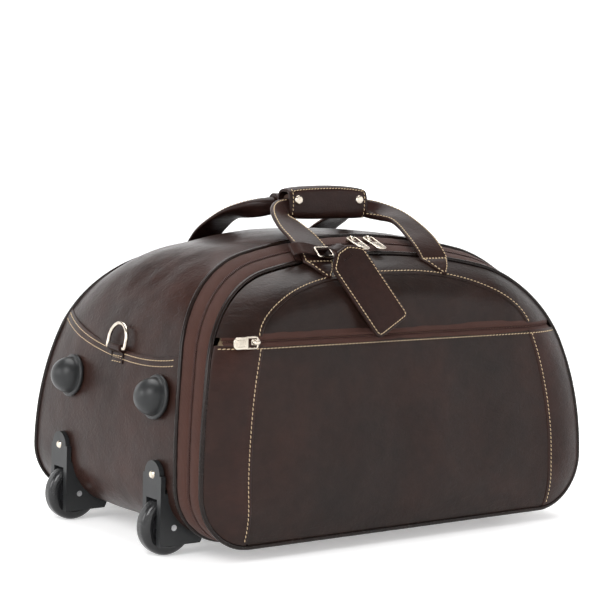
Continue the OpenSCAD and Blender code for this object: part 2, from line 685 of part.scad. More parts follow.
slide_y = -(half_depth - lean - mid_zip);
slide_z = top_z + 10.9;
module main_slider(side) {
    color("#c9bda6") translate([side * 11, slide_y, slide_z]) {
        translate([-4.2, -5, 0]) cube([8.4, 10, 2]);
        difference() {
            translate([-4, -1.5, 2]) cube([8, 3, 5]);
            translate([-5, 0, 4.5]) rotate([0, 90, 0]) cylinder(r = 1.1, h = 10, $fn = 32);
        }
    }
}
puller_z = slide_z + 4.5;
module main_puller(side) {
    color("#c9bda6") translate([side * 11, slide_y, puller_z]) {
        rotate([0, 90, 0]) cylinder(r = 1.05, h = 13, center = true, $fn = 32);
        rotate([20, 0, 0]) for (s = [-1, 1]) translate([s * 5.5 - 1, -12, -1]) cube([2, 12, 2]);
        rotate([20, 0, 0]) translate([-6.5, -30, -1]) cube([13, 18, 2]);
    }
}
pocket_slide_x = -186;
pocket_slide_y = -158.6;
module pocket_slider() {
    color("#c9bda6") translate([pocket_slide_x, pocket_slide_y, pocket_z]) {
        translate([-6, -2, -4.5]) cube([12, 2, 9]);
        difference() {
            translate([-2, -7, -3.5]) cube([4, 5, 7]);
            translate([0, -4.6, -5]) cylinder(r = 1.1, h = 10, $fn = 32);
        }
    }
}
module pocket_puller() {
    color("#c9bda6") translate([pocket_slide_x, pocket_slide_y - 4.6, pocket_z]) {
        cylinder(r = 1.05, h = 12, center = true, $fn = 32);
        for (s = [-1, 1]) translate([-12, -1, s * 5 - 1]) cube([12, 2, 2]);
        translate([-28, -1, -6]) cube([16, 2, 12]);
    }
}

base_panel();
end_panel_left();
end_panel_right();
top_yoke();
back_panel();
rear_piping();
outer_piping();
zip_tape_case();
zip_coil_case();
lining_shell();
lining_back();
base_board();
trolley_sleeves();
trolley_bezel();
rear_anchors();
wheel_housing(-1);  // wheel_housing_front
wheel_housing(1);  // wheel_housing_rear
axles();
housing_rivets();
bumper(-1);  // bumper_front
bumper(1);  // bumper_rear
ring_tab(-1);  // ring_tab_left
ring_tab(1);  // ring_tab_right
skid_feet();
front_band();
front_center_panel();
pocket_panel();
pocket_side_bands();
pocket_zip_tape();
inner_piping();
zip_tape_lid();
zip_coil_lid();
lid_lining();
front_anchors();
tag_loop();
front_strap();
front_grip_core();
grip_wrap();
wrap_snaps();
rear_strap();
rear_grip_core();
tag_strap();
tag_buckle();
tag_body();
tyre(-1);  // tyre_front
hub(-1);  // hub_front
tyre(1);  // tyre_rear
hub(1);  // hub_rear
middle_tubes();
inner_tubes();
trolley_grip();
trolley_button();
d_ring(-1);  // d_ring_left
d_ring(1);  // d_ring_right
main_slider(-1);  // main_slider_left
main_slider(1);  // main_slider_right
main_puller(-1);  // main_puller_left
main_puller(1);  // main_puller_right
pocket_slider();
pocket_puller();
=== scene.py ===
import math
import bpy
import numpy as np
from mathutils import Matrix, Vector


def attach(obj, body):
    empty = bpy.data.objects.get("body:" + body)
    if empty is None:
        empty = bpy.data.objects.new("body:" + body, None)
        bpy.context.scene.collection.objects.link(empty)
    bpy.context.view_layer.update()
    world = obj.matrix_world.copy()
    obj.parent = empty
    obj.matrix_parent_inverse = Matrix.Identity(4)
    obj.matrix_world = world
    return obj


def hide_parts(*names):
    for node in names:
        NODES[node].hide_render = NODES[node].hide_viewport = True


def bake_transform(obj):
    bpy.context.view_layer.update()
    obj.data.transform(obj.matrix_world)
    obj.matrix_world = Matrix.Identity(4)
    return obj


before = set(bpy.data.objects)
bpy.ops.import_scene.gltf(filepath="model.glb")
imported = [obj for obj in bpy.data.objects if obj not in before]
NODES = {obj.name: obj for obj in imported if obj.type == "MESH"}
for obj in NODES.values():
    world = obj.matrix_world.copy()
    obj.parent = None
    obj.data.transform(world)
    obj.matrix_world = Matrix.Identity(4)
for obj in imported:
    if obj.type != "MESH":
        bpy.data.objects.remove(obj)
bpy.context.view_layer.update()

# ---- the bag's shape, in mm

half_len, floor_gap, corner_r, side_r, shoulder_r = 250.0, 16.0, 58.0, 445.0, 120.0
half_depth, lean, face_depth, lean_power = 168.0, 69.0, 177.0, 3.07
zip_w, piping_r, pocket_z = 40.0, 2.5, 217.0
side_turn, shoulder_turn = 16.0, 78.0
seam_gap = piping_r + 0.2
mid_z = floor_gap + corner_r
cosd = lambda a: np.cos(np.radians(a))
sind = lambda a: np.sin(np.radians(a))
side_c = np.array([half_len - side_r, mid_z])
shoulder_c = side_c + (side_r - shoulder_r) * np.array([cosd(side_turn), sind(side_turn)])
top_r = shoulder_r + shoulder_c[0] / cosd(shoulder_turn)
top_c = np.array([0.0, shoulder_c[1] - (top_r - shoulder_r) * sind(shoulder_turn)])
top_z = top_c[1] + top_r
corner_x = half_len - corner_r
roll_w = 45.0


def turned(t):
    """Point and normal (x, z, nx, nz) of the right half of the outline, turned t degrees above level."""
    c, s = cosd(t), sind(t)
    if t < 0:
        p = (corner_x + corner_r * c, mid_z + corner_r * s)
    elif t < side_turn:
        p = (side_c[0] + side_r * c, side_c[1] + side_r * s)
    elif t < shoulder_turn:
        p = (shoulder_c[0] + shoulder_r * c, shoulder_c[1] + shoulder_r * s)
    else:
        p = (top_r * c, top_c[1] + top_r * s)
    return (*p, c, s)


def _loop():
    right = [(x, floor_gap, 0.0, -1.0) for x in np.linspace(0, corner_x, 60)[:-1]]
    for a, b, n in ((-90, 0, 80), (0, 16, 60), (16, 78, 120), (78, 90, 80)):
        right += [turned(t) for t in np.linspace(a, b, n + 1)[:-1]]
    right.append(turned(90.0))
    right = np.array(right)
    left = right[::-1][1:] * np.array([-1, 1, -1, 1])
    return np.vstack([right, left])


LOOP = _loop()
LOOP_S = np.concatenate([[0], np.cumsum(np.hypot(*np.diff(LOOP[:, :2], axis=0).T))])
ROUND = LOOP_S[-1]
_right = LOOP[: len(LOOP) // 2 + 1]
_turns = np.degrees(np.arctan2(_right[:, 3], _right[:, 2]))


def at_turn(t):
    """Arc length from the bottom's middle at which the right side has turned t degrees."""
    k = _turns > -89.99
    return float(np.interp(t, _turns[k], LOOP_S[: len(_right)][k]))


def loop(s):
    s = np.mod(s, ROUND)
    v = [np.interp(s, LOOP_S, LOOP[:, i]) for i in range(4)]
    n = np.hypot(v[2], v[3])
    return v[0], v[1], v[2] / n, v[3] / n


def seam_y(z):
    return half_depth - lean * (np.clip(z, 0, None) / top_z) ** lean_power


def waves(seed, count, low, high):
    """A sum of smooth waves in space with lengths from low to high mm, about 1 at most."""
    r = np.random.default_rng(seed)
    d = r.normal(size=(count, 3))
    d /= np.linalg.norm(d, axis=1)[:, None]
    k = 2 * np.pi / np.exp(r.uniform(np.log(low), np.log(high), count))
    ph = r.uniform(0, 6.28, count)
    return lambda p: np.sin((p @ (d * k[:, None]).T) + ph).sum(-1) / math.sqrt(count) / 1.6


soft_dents = waves(3, 9, 70, 190)
small_dents = waves(5, 12, 22, 60)


def gusset(s, v, off=0.0):
    """Point of the gusset at arc length s; v is -1 at the front seam and 1 at the back seam."""
    x, z, nx, nz = loop(s)
    crown = np.where(nz < 0, 6 * nx * nx, 6 + 14 * nz)
    b = crown * (1 - np.abs(v) ** 3) + off
    return np.stack([x + nx * b, v * seam_y(z), z + nz * b], -1)


def gusset_mm(s, mm, off=0.0):
    z = loop(s)[1]
    return gusset(s, -1 + mm / seam_y(z), off)


def edge_dist(x, z):
    ax = np.abs(x)
    up = np.degrees(np.arctan2(z - shoulder_c[1], ax - shoulder_c[0]))
    plain = np.minimum(z - floor_gap, half_len - ax)
    low = np.where(ax > corner_x, corner_r - np.hypot(ax - corner_x, z - mid_z), plain)
    side = side_r - np.hypot(ax - side_c[0], z - side_c[1])
    shoulder = shoulder_r - np.hypot(ax - shoulder_c[0], z - shoulder_c[1])
    top = top_r - np.hypot(ax, z - top_c[1])
    inner = (ax <= shoulder_c[0]) & (z < shoulder_c[1])
    high = np.where(up < side_turn, side, np.where(up < shoulder_turn, shoulder, top))
    return np.where(z < mid_z, low, np.where(inner, plain, high))


def face(x, z):
    d = np.clip(edge_dist(x, z), 0, roll_w) / roll_w
    s = seam_y(z)
    return s + (face_depth - 37 * (np.clip(z, 0, None) / 281) ** 2.5 - s) * (1 - (1 - d) ** 2)


def on_front(x, z, off=0.0, side=-1):
    x, z = np.broadcast_arrays(np.asarray(x, float), np.asarray(z, float))
    return np.stack([x, side * (face(x, z) + off), z], -1)


# ---- meshes from grids


def unit(v):
    return v / np.maximum(np.linalg.norm(v, axis=-1, keepdims=True), 1e-9)


def normals(P, sign=1, close_r=False, close_c=False):
    def grad(A, ax, closed):
        if closed:
            return np.roll(A, -1, ax) - np.roll(A, 1, ax)
        return np.gradient(A, axis=ax)
    return sign * unit(np.cross(grad(P, 0, close_r), grad(P, 1, close_c)))


def faces(r, c, close_r=False, close_c=False, start=0, flip=False):
    i, j = np.meshgrid(np.arange(r if close_r else r - 1), np.arange(c if close_c else c - 1), indexing="ij")
    a = i * c + j
    b = i * c + (j + 1) % c
    d = ((i + 1) % r) * c + j
    e = ((i + 1) % r) * c + (j + 1) % c
    q = np.stack([a, d, e, b] if not flip else [a, b, e, d], -1).reshape(-1, 4) + start
    return q


def make(name, V, F, mat, body=None, rep=(), smooth=50):
    me = bpy.data.meshes.new(name)
    me.from_pydata((np.asarray(V, float).reshape(-1, 3) * 0.001).tolist(), [], [tuple(map(int, f)) for f in F])
    me.materials.append(mat)
    me.shade_smooth()
    if smooth < 180:
        me.set_sharp_from_angle(angle=math.radians(smooth))
    o = bpy.data.objects.new(name, me)
    bpy.context.scene.collection.objects.link(o)
    if body:
        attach(o, body)
        if rep:
            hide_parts(*rep)
    return o


class Mesh:
    """Collects grids and pieces into one mesh."""

    def __init__(self):
        self.v, self.f, self.n = [], [], 0

    def grid(self, P, close_r=False, close_c=False, flip=False):
        r, c = P.shape[:2]
        self.f += faces(r, c, close_r, close_c, self.n, flip).tolist()
        self.v.append(P.reshape(-1, 3))
        self.n += r * c
        return self

    def add(self, V, F):
        V = np.asarray(V, float).reshape(-1, 3)
        self.f += [[i + self.n for i in f] for f in F]
        self.v.append(V)
        self.n += len(V)
        return self

    def build(self, name, mat, body, slot, rep=(), smooth=50):
        return make(name, np.vstack(self.v), self.f, mat, body, rep, smooth)


def rolled(P, N, ends, r, depth=None, k=4):
    """Adds rounded edges to a grid at the named ends (r0, r1, c0, c1), turning down by depth."""
    depth = depth or r
    for e in ends:
        ax = 0 if e[0] == "r" else 1
        Q, M = (P, N) if ax == 0 else (P.swapaxes(0, 1), N.swapaxes(0, 1))
        i, j = (0, 1) if e[1] == "0" else (-1, -2)
        out = unit(Q[i] - Q[j])
        extra, en = [], []
        for a in np.linspace(0, 90, k + 1)[1:]:
            extra.append(Q[i] + out * r * sind(a) - M[i] * r * (1 - cosd(a)))
            en.append(unit(out * sind(a) + M[i] * cosd(a)))
        if depth > r:
            extra.append(Q[i] + out * r - M[i] * depth)
            en.append(out)
        extra, en = np.array(extra), np.array(en)
        if e[1] == "0":
            Q, M = np.vstack([extra[::-1], Q]), np.vstack([en[::-1], M])
        else:
            Q, M = np.vstack([Q, extra]), np.vstack([M, en])
        P, N = (Q, M) if ax == 0 else (Q.swapaxes(0, 1), M.swapaxes(0, 1))
    return P, N


def resample(P, step=None, count=None, closed=False):
    P = np.asarray(P, float)
    if closed:
        P = np.vstack([P, P[:1]])
    s = np.concatenate([[0], np.cumsum(np.linalg.norm(np.diff(P, axis=0), axis=1))])
    n = count or max(2, int(round(s[-1] / step)) + 1)
    t = np.linspace(0, s[-1], n)
    return np.stack([np.interp(t, s, P[:, i]) for i in range(3)], -1), t


def beads(path, rad, U, W):
    """Vertices and faces of many short closed tubes along path (count, points, 3), with section axes U and W."""
    n, k = path.shape[:2]
    ang = np.linspace(0, 2 * np.pi, 7)[:-1]
    c, q = np.cos(ang)[None, None, :, None], np.sin(ang)[None, None, :, None]
    ring = path[:, :, None] + rad[None, :, None, None] * (c * U + q * W)
    one = faces(k, 6, close_c=True)
    F = (one[None] + (np.arange(n) * k * 6)[:, None, None]).reshape(-1, 4)
    ends = (range(5, -1, -1), range(k * 6 - 6, k * 6))
    return ring.reshape(-1, 3), F.tolist() + [[b + j for j in e] for b in range(0, n * k * 6, k * 6) for e in ends]


def stitches(name, P, N, body, fine=False, closed=False):
    """A row of thread stitches along P, lying on the surface with normal N."""
    pitch, length = (3.9, 2.9) if fine else (4.4, 3.3)
    r, skew, lift = 0.42, 0.16, 0.12
    P, N = np.asarray(P, float), unit(np.asarray(N, float))
    if closed:
        P, N = np.vstack([P, P[:1]]), np.vstack([N, N[:1]])
    s = np.concatenate([[0], np.cumsum(np.linalg.norm(np.diff(P, axis=0), axis=1))])
    n = max(1, int(s[-1] // pitch))
    pitch = s[-1] / n
    mid = (np.arange(n) + 0.5) * pitch
    u = np.linspace(-1, 1, 7)
    at = mid[:, None] + u[None] * length / 2
    pos = np.stack([np.interp(at, s, P[:, i]) for i in range(3)], -1)
    nor = unit(np.stack([np.interp(at, s, N[:, i]) for i in range(3)], -1))
    tan = unit(pos[:, -1] - pos[:, 0])[:, None].repeat(7, 1)
    sidev = unit(np.cross(nor, tan))
    sunk = lift + r * (0.75 - 1.5 * np.abs(u) ** 3)
    pos = pos + sidev * (u[None, :, None] * length / 2 * skew) + nor * sunk[None, :, None]
    rad = r * np.sqrt(np.clip(1 - np.abs(u) ** 4, 0.12, 1))
    V, F = beads(pos, rad, sidev[:, :, None], nor[:, :, None])
    return make(name, V, F, thread, body, smooth=180)


def tube(P, r, n=12, closed=False, up=None, flat=1.0):
    """Grid of a round tube along P; r may vary along it."""
    P = np.asarray(P, float)
    r = np.broadcast_to(np.asarray(r, float), (len(P),))
    T = np.roll(P, -1, 0) - np.roll(P, 1, 0) if closed else np.gradient(P, axis=0)
    T = unit(T)
    if up is None:
        U = [np.array([0, 0, 1.0]) if abs(T[0][2]) < 0.9 else np.array([1.0, 0, 0])]
        U[0] = unit(U[0] - T[0] * (U[0] @ T[0]))
        for t in T[1:]:
            U.append(unit(U[-1] - t * (U[-1] @ t)))
        U = np.array(U)
    else:
        U = unit(np.broadcast_to(up, P.shape) - T * np.sum(np.broadcast_to(up, P.shape) * T, -1, keepdims=True))
    S = np.cross(T, U)
    a = np.linspace(0, 2 * np.pi, n + 1)[:-1]
    c, s = np.cos(a)[None, :, None], np.sin(a)[None, :, None]
    return P[:, None] + r[:, None, None] * (c * U[:, None] * flat + s * S[:, None])


def capped(m, G):
    """Adds an open tube grid to a Mesh with flat ends."""
    base = m.n
    r, c = G.shape[:2]
    m.grid(G, close_c=True)
    m.f += [list(range(base + c - 1, base - 1, -1)), list(range(base + (r - 1) * c, base + r * c))]
    return m


def lathe(profile, n=64):
    """Grid turned about +Z from (radius, height) points."""
    a = np.linspace(0, 2 * np.pi, n + 1)[:-1]
    p = np.asarray(profile, float)
    return np.stack([p[:, :1] * np.cos(a), p[:, :1] * np.sin(a), np.repeat(p[:, 1:], n, 1)], -1)


def placed(P, origin=(0, 0, 0), X=(1, 0, 0), Y=(0, 1, 0), Z=(0, 0, 1)):
    return np.asarray(P) @ np.array([X, Y, Z], float) + np.asarray(origin, float)


def spline(rows, n):
    """Catmull-Rom through rows of numbers."""
    R = np.asarray(rows, float)
    R = np.vstack([2 * R[0] - R[1], R, 2 * R[-1] - R[-2]])
    out = []
    t = np.linspace(0, len(R) - 3, n)
    for x in t:
        i = min(int(x), len(R) - 4)
        f = x - i
        p0, p1, p2, p3 = R[i:i + 4]
        out.append(0.5 * (2 * p1 + (p2 - p0) * f + (2 * p0 - 5 * p1 + 4 * p2 - p3) * f * f
                          + (3 * p1 - p0 - 3 * p2 + p3) * f ** 3))
    return np.array(out)


# ---- materials

class Nodes:
    """Short way to build a material's nodes."""

    def __init__(self, name):
        self.mat = bpy.data.materials.new(name)
        self.mat.use_nodes = True
        self.t = self.mat.node_tree
        self.bsdf = self.t.nodes["Principled BSDF"]
        self.co = self.t.nodes.new("ShaderNodeTexCoord").outputs["Object"]

    def set(self, **kw):
        for k, v in kw.items():
            self.link(v, self.bsdf.inputs[k.replace("_", " ")])
        return self

    def link(self, v, socket):
        if isinstance(v, bpy.types.NodeSocket):
            self.t.links.new(v, socket)
        else:
            colour = isinstance(v, tuple) and len(v) == 3 and socket.type == "RGBA"
            socket.default_value = (*v, 1.0) if colour else v

    def texture(self, kind, out, co=None, traits=(), **values):
        n = self.t.nodes.new("ShaderNodeTex" + kind)
        for k, v in traits:
            setattr(n, k, v)
        for k, v in values.items():
            n.inputs[k].default_value = v
        self.t.links.new(co or self.co, n.inputs["Vector"])
        return n.outputs[out]

    def noise(self, scale, detail=4.0, rough=0.55, distort=0.0, co=None):
        return self.texture("Noise", "Fac", co, Scale=scale, Detail=detail, Roughness=rough, Distortion=distort)

    def voronoi(self, scale, feature="F1"):
        return self.texture("Voronoi", "Distance", None, [("feature", feature)], Scale=scale, Randomness=1.0)

    def wave(self, scale, direction, distort, co):
        return self.texture("Wave", "Fac", co, [("bands_direction", direction)], Scale=scale, Distortion=distort,
                            Detail=2.0)

    def ramp(self, fac, *stops):
        n = self.t.nodes.new("ShaderNodeValToRGB")
        e = n.color_ramp.elements
        while len(e) < len(stops):
            e.new(0.5)
        for k, (p, c) in zip(e, stops):
            k.position = p
            k.color = (*c, 1.0) if isinstance(c, tuple) else (c, c, c, 1.0)
        self.t.links.new(fac, n.inputs["Fac"])
        return n.outputs["Color"]

    def math(self, op, a, b=0.0, c=0.0):
        n = self.t.nodes.new("ShaderNodeMath")
        n.operation = op
        for s, v in zip(n.inputs, (a, b, c)):
            self.link(v, s)
        return n.outputs[0]

    def mix(self, fac, a, b, kind="MIX"):
        n = self.t.nodes.new("ShaderNodeMix")
        n.data_type, n.blend_type = "RGBA", kind
        ins = [s for s in n.inputs if s.enabled]
        for s, v in zip(ins, (fac, a, b)):
            self.link(v, s)
        return [s for s in n.outputs if s.enabled][0]

    def bump(self, height, distance, strength=1.0, after=None):
        n = self.t.nodes.new("ShaderNodeBump")
        n.inputs["Distance"].default_value = distance
        n.inputs["Strength"].default_value = strength
        self.t.links.new(height, n.inputs["Height"])
        if after:
            self.t.links.new(after, n.inputs["Normal"])
        return n.outputs["Normal"]

    def stretch(self, scale, turn=(0, 0, 0)):
        n = self.t.nodes.new("ShaderNodeMapping")
        n.inputs["Scale"].default_value = scale
        n.inputs["Rotation"].default_value = turn
        self.t.links.new(self.co, n.inputs["Vector"])
        return n.outputs["Vector"]


def leather(name, base, red, dark, rough=(0.3, 0.46), grain=1.0, crease=1.0, coat=0.1):
    """Waxed leather: fine pores, faint wrinkles, slow changes of tone and a soft shine."""
    m = Nodes(name)
    cloud = m.noise(9, 5, 0.6, 0.4)
    tone = m.ramp(cloud, (0.3, dark), (0.5, base), (0.72, red))
    blotch = m.ramp(m.noise(70, 4, 0.6), (0.3, (0.78, 0.78, 0.78)), (0.7, (1.12, 1.1, 1.08)))
    pores = m.voronoi(1150)
    pore_tint = m.ramp(pores, (0.0, (0.8, 0.78, 0.78)), (0.35, (1.0, 1.0, 1.0)))
    col = m.mix(1.0, m.mix(1.0, tone, blotch, "MULTIPLY"), pore_tint, "MULTIPLY")
    broad, close = m.math("MULTIPLY", m.noise(26, 5, 0.65), 0.6), m.math("MULTIPLY", m.noise(420, 3), 0.4)
    shine = m.ramp(m.math("ADD", broad, close), (0.3, rough[0]), (0.72, rough[1]))
    nrm = m.bump(m.noise(14, 4, 0.5, 0.3), 0.0022 * crease, 0.5)
    folds = m.noise(55, 5, 0.62, 1.4, m.stretch((1.0, 1.6, 2.6), (0.4, 0.3, 0.2)))
    nrm = m.bump(folds, 0.0011 * crease, 0.5, nrm)
    nrm = m.bump(m.voronoi(420, "SMOOTH_F1"), 0.00016 * grain, 0.7, nrm)
    nrm = m.bump(pores, 0.0001 * grain, 0.6, nrm)
    m.set(Base_Color=col, Roughness=shine, Normal=nrm, Coat_Weight=coat, Coat_Roughness=0.2, Specular_IOR_Level=0.1)
    return m.mat


def woven(name, base, light, rows=900, rough=0.85):
    """Woven tape or cloth with crossing threads."""
    m = Nodes(name)
    weave = m.math("MULTIPLY", *(m.wave(rows / 6.28, axis, 0.4, m.stretch((1, 1, 1))) for axis in "XZ"))
    worn = m.mix(m.noise(60, 5), base, light)
    col = m.mix(m.math("MULTIPLY", weave, 0.6), worn, light)
    m.set(Base_Color=col, Roughness=rough, Sheen_Weight=0.05, Specular_IOR_Level=0.2,
          Normal=m.bump(m.noise(1500, 3), 0.0001, 0.6, m.bump(weave, 0.00022, 0.8)))
    return m.mat


def metal(name, base, rough=(0.12, 0.3), scale=260, tarnish=None):
    m = Nodes(name)
    dull = tarnish or tuple(c * 0.7 for c in base)
    m.set(Base_Color=m.mix(m.ramp(m.noise(90, 5, 0.7), (0.45, 0.0), (0.75, 1.0)), base, dull),
          Metallic=1.0, Roughness=m.ramp(m.noise(scale, 4, 0.7), (0.3, rough[0]), (0.75, rough[1])),
          Normal=m.bump(m.noise(500, 3), 0.00004, 0.5))
    return m.mat


def plastic(name, base, rough=(0.35, 0.5), texture=0.00008, scale=1300, coat=0.0):
    m = Nodes(name)
    m.set(Base_Color=m.mix(m.noise(45, 4), base, tuple(c * 1.5 + 0.002 for c in base)),
          Roughness=m.ramp(m.noise(70, 5, 0.6), (0.3, rough[0]), (0.7, rough[1])),
          Coat_Weight=coat, Specular_IOR_Level=0.25,
          Normal=m.bump(m.noise(scale, 2), texture, 0.6, m.bump(m.noise(35, 3), 0.0004, 0.25)))
    return m.mat


body_leather = leather("body_leather", (0.0192, 0.0087, 0.0067), (0.0282, 0.0104, 0.0075), (0.0134, 0.0070, 0.0058))
front_leather = leather("front_leather",
                        (0.0146, 0.0078, 0.0062), (0.0202, 0.0089, 0.0065), (0.0106, 0.0068, 0.0057), (0.27, 0.42))
trim_leather = leather("trim_leather",
                       (0.0174, 0.0075, 0.0058), (0.0248, 0.0096, 0.0070), (0.0112, 0.0055, 0.0046), (0.3, 0.44), 1.0, 0.7)
cord_leather = leather("cord_leather",
                       (0.0105, 0.0065, 0.0055), (0.016, 0.009, 0.007), (0.006, 0.0045, 0.004), (0.2, 0.32), 0.5, 0.35, 0.15)
thread = woven("thread", (0.42, 0.30, 0.17), (0.62, 0.48, 0.31), 2600, 0.8)
tape_cloth = woven("tape_cloth", (0.028, 0.0095, 0.0062), (0.044, 0.0155, 0.010), 2200, 0.8)
coil_nylon = plastic("coil_nylon", (0.030, 0.0105, 0.0075), (0.3, 0.45))
lining_cloth = woven("lining_cloth", (0.20, 0.14, 0.085), (0.30, 0.22, 0.14), 1500)
padding_mat = woven("padding_mat", (0.03, 0.016, 0.012), (0.05, 0.028, 0.02), 900)
nickel = metal("nickel", (0.60, 0.54, 0.46), (0.14, 0.28), 260, (0.34, 0.29, 0.23))
steel = metal("steel", (0.56, 0.56, 0.57), (0.25, 0.42))
tube_metal = metal("tube_metal", (0.70, 0.70, 0.71), (0.24, 0.4), 900)
black_plastic = plastic("black_plastic", (0.018, 0.0185, 0.0195), (0.34, 0.46), 0.00012)
board_mat = plastic("board_mat", (0.02, 0.02, 0.02), (0.6, 0.75), 0.0002, 500)
wheel_black = plastic("wheel_black", (0.0075, 0.0075, 0.008), (0.16, 0.3), 0.00003, 900, 0.3)
hub_black = plastic("hub_black", (0.010, 0.010, 0.011), (0.28, 0.42), 0.00006)
dome_black = plastic("dome_black", (0.012, 0.0125, 0.013), (0.3, 0.4), 0.00009, 1600)

# ---- leather case

SB = at_turn(-89.9)
zs = LOOP[: len(LOOP) // 2 + 1]


def s_at_z(z):
    up = _turns > -89.9
    return np.interp(z, zs[up, 1], LOOP_S[: len(_right)][up])


def smile(y):
    """Height of the curved seam between each end panel and the top yoke."""
    d = y + 43
    return 190 + np.where(d > 0, 0.00085, 0.0016) * d * d


def gusset_sheet(s, v, off=0.0, amp=1.0):
    """Grid of gusset points with soft dents, and its outward normals."""
    s, v = np.broadcast_arrays(s, v)
    P = gusset(s, v, off)
    N = normals(P, -1)
    w = np.clip(1 - np.abs(v) ** 6, 0, 1) * np.clip((np.abs(v + 1) * seam_y(P[..., 2]) - zip_w) / 16, 0, 1)
    return P + N * ((amp * 1.1 * soft_dents(P) + 0.3 * small_dents(P)) * w)[..., None], N


def v_range(S):
    """Place across the gusset for each column of S, from the zip's seam to the back seam."""
    y = seam_y(loop(S)[1])
    v0, v1 = -1 + (zip_w + 2.2) / y, 1 - 2.2 / y
    return v0 + (v1 - v0) * np.linspace(0, 1, S.shape[1])


def well_mask(P):
    x, y, z = P[..., 0], P[..., 1], P[..., 2]
    return (x < -196) & (np.abs(np.abs(y) - 95) < 16) & (z < 70)


def masked(m, P, mask=None, **kw):
    """Adds a grid to a Mesh without the faces whose middle is masked."""
    F = faces(*P.shape[:2], start=m.n, **kw)
    flat = P.reshape(-1, 3)
    if mask is not None:
        F = F[~mask(flat[F - m.n].mean(1))]
    m.v.append(flat)
    m.f += F.tolist()
    m.n += len(flat)
    return m


# top yoke: a sheet over the top whose lower edges follow the curved seams
cols = 72
t = np.linspace(0, 1, 300)[:, None]
y_guess = -(seam_y(195.0) - zip_w) + (2 * seam_y(195.0) - zip_w) * np.linspace(0, 1, cols)
s_lo = s_at_z(smile(y_guess) - 5)[None]
S = s_lo + (ROUND - 2 * s_lo) * t
P, N = gusset_sheet(S, v_range(S))
P, N = rolled(P, N, ("c0", "c1"), 1.6, 2.6)
Mesh().grid(P, flip=True).build("top_yoke_leather", body_leather, "case", "leather_dark", ("top_yoke",))

# end panels: each overlaps the yoke along the curved seam, with two rows of stitches
for side, name in ((1, "end_panel_right"), (-1, "end_panel_left")):
    t = np.concatenate([np.linspace(0, 0.9, 90), np.linspace(0.9, 1, 16)[1:]])[:, None]
    s_hi = s_at_z(smile(y_guess))[None]
    S = SB + (s_hi - SB) * t
    over = 1.3 * np.clip((S - s_hi + 22) / 14, 0, 1) ** 2
    S0 = S if side > 0 else ROUND - S
    P, N = gusset_sheet(S0, v_range(S0), over, 0.8)
    N = N if side > 0 else -N
    rows = []
    for back in (2.6, 8.6):
        i = np.argmin(np.abs((s_hi - S)[:, cols // 2] - back))
        rows.append((P[i], N[i]))
    P, N = rolled(P, N, ("r1",), 1.1, 2.0)
    P, N = rolled(P, N, ("c0", "c1"), 1.6, 2.6)
    m = masked(Mesh(), P, well_mask if side < 0 else None, flip=side > 0)
    m.build(name + "_leather", body_leather, "case", "leather_dark", (name,))
    for k, (a, b) in enumerate(rows):
        stitches(f"{name}_stitch_{k}", a[2:-1], b[2:-1], "case")

# base
xs = np.linspace(-corner_x, corner_x, 90)[:, None]
P = gusset(np.mod(xs, ROUND), v_range(np.zeros((90, 60))))
P[..., 2] += 0.25 * small_dents(P)
P, N = rolled(P, np.broadcast_to([0, 0, -1.0], P.shape).copy(), ("c0", "c1"), 1.6, 2.6)
Mesh().grid(P, flip=True).build("base_leather", body_leather, "case", "leather_dark", ("base_panel",))


# back: rings from its edge to its middle
s = np.linspace(0, ROUND, 421)[:-1]
x, z, nx, nz = loop(s)
e = np.stack([x - nx * 2.2, z - nz * 2.2], -1)
u = np.linspace(0, 1, 70)[:-1] ** 1.6
mid = np.array([0, 150.0])
p = mid + (e - mid)[None] * (1 - u)[:, None, None]
P = on_front(p[..., 0], p[..., 1], 0, 1)
N = normals(P, -1, close_c=True)
w = np.clip(u * 5, 0, 1)[:, None]
P = P + N * ((1.2 * soft_dents(P) + 0.25 * small_dents(P)) * w)[..., None]
P, N = rolled(P, N, ("r0",), 1.6, 2.6)
m = Mesh().grid(P, close_c=True)
rings, around = P.shape[:2]
m.add([P[-1].mean(0)], [])
k0 = (rings - 1) * around
m.f += [[k0 + j, rings * around, k0 + (j + 1) % around] for j in range(around)]
m.build("back_panel_leather", body_leather, "case", "leather_dark", ("back_panel",))


def ring_path(mm, off=0.0, n=720, back=False):
    s = np.linspace(0, ROUND, n + 1)[:-1]
    P = gusset(s, np.ones(n), off) if back else gusset_mm(s, mm, off)
    _, _, nx, nz = loop(s)
    return P, np.stack([nx, 0 * nx, nz], -1), s


for name, mm, back, body in (("rear_piping", 0, True, "case"), ("outer_piping", zip_w, False, "case"),
                             ("inner_piping", 0, False, "lid")):
    P, N, s = ring_path(mm, 0.2, 900, back)
    r = 2.45 + 0.07 * small_dents(P * 3) + 0.05 * np.sin(s / 4.4 * 2 * np.pi)
    Mesh().grid(tube(P, r, 14, True, N), True, True).build(name + "_cord", cord_leather, body, "piping", (name,))

# main zip: two tapes with a raised fold each, and the spiral teeth between them
mid_zip = zip_w / 2
for name, a, b, body in (("zip_tape_case", mid_zip + 1.2, zip_w - 1.2, "case"),
                         ("zip_tape_lid", 1.2, mid_zip - 1.2, "lid")):
    s = np.linspace(0, ROUND, 721)[:-1, None]
    u = np.linspace(0, 1, 17)[None]
    mm = a + (b - a) * u
    inner = u if body == "case" else 1 - u
    lift = -0.9 + 1.5 * np.sin(np.pi * np.clip(1 - inner * 0.92, 0, 1)) ** 0.8 + 0.12 * np.sin(s / 3.1)
    P = gusset_mm(s, mm, lift)
    Q = gusset_mm(s, mm[:, ::-1], lift[:, ::-1] - 1.0)
    m = Mesh().grid(np.concatenate([P, Q], 1), True, True, flip=True)
    m.build(name + "_cloth", tape_cloth, body, "zip_tape", (name,))


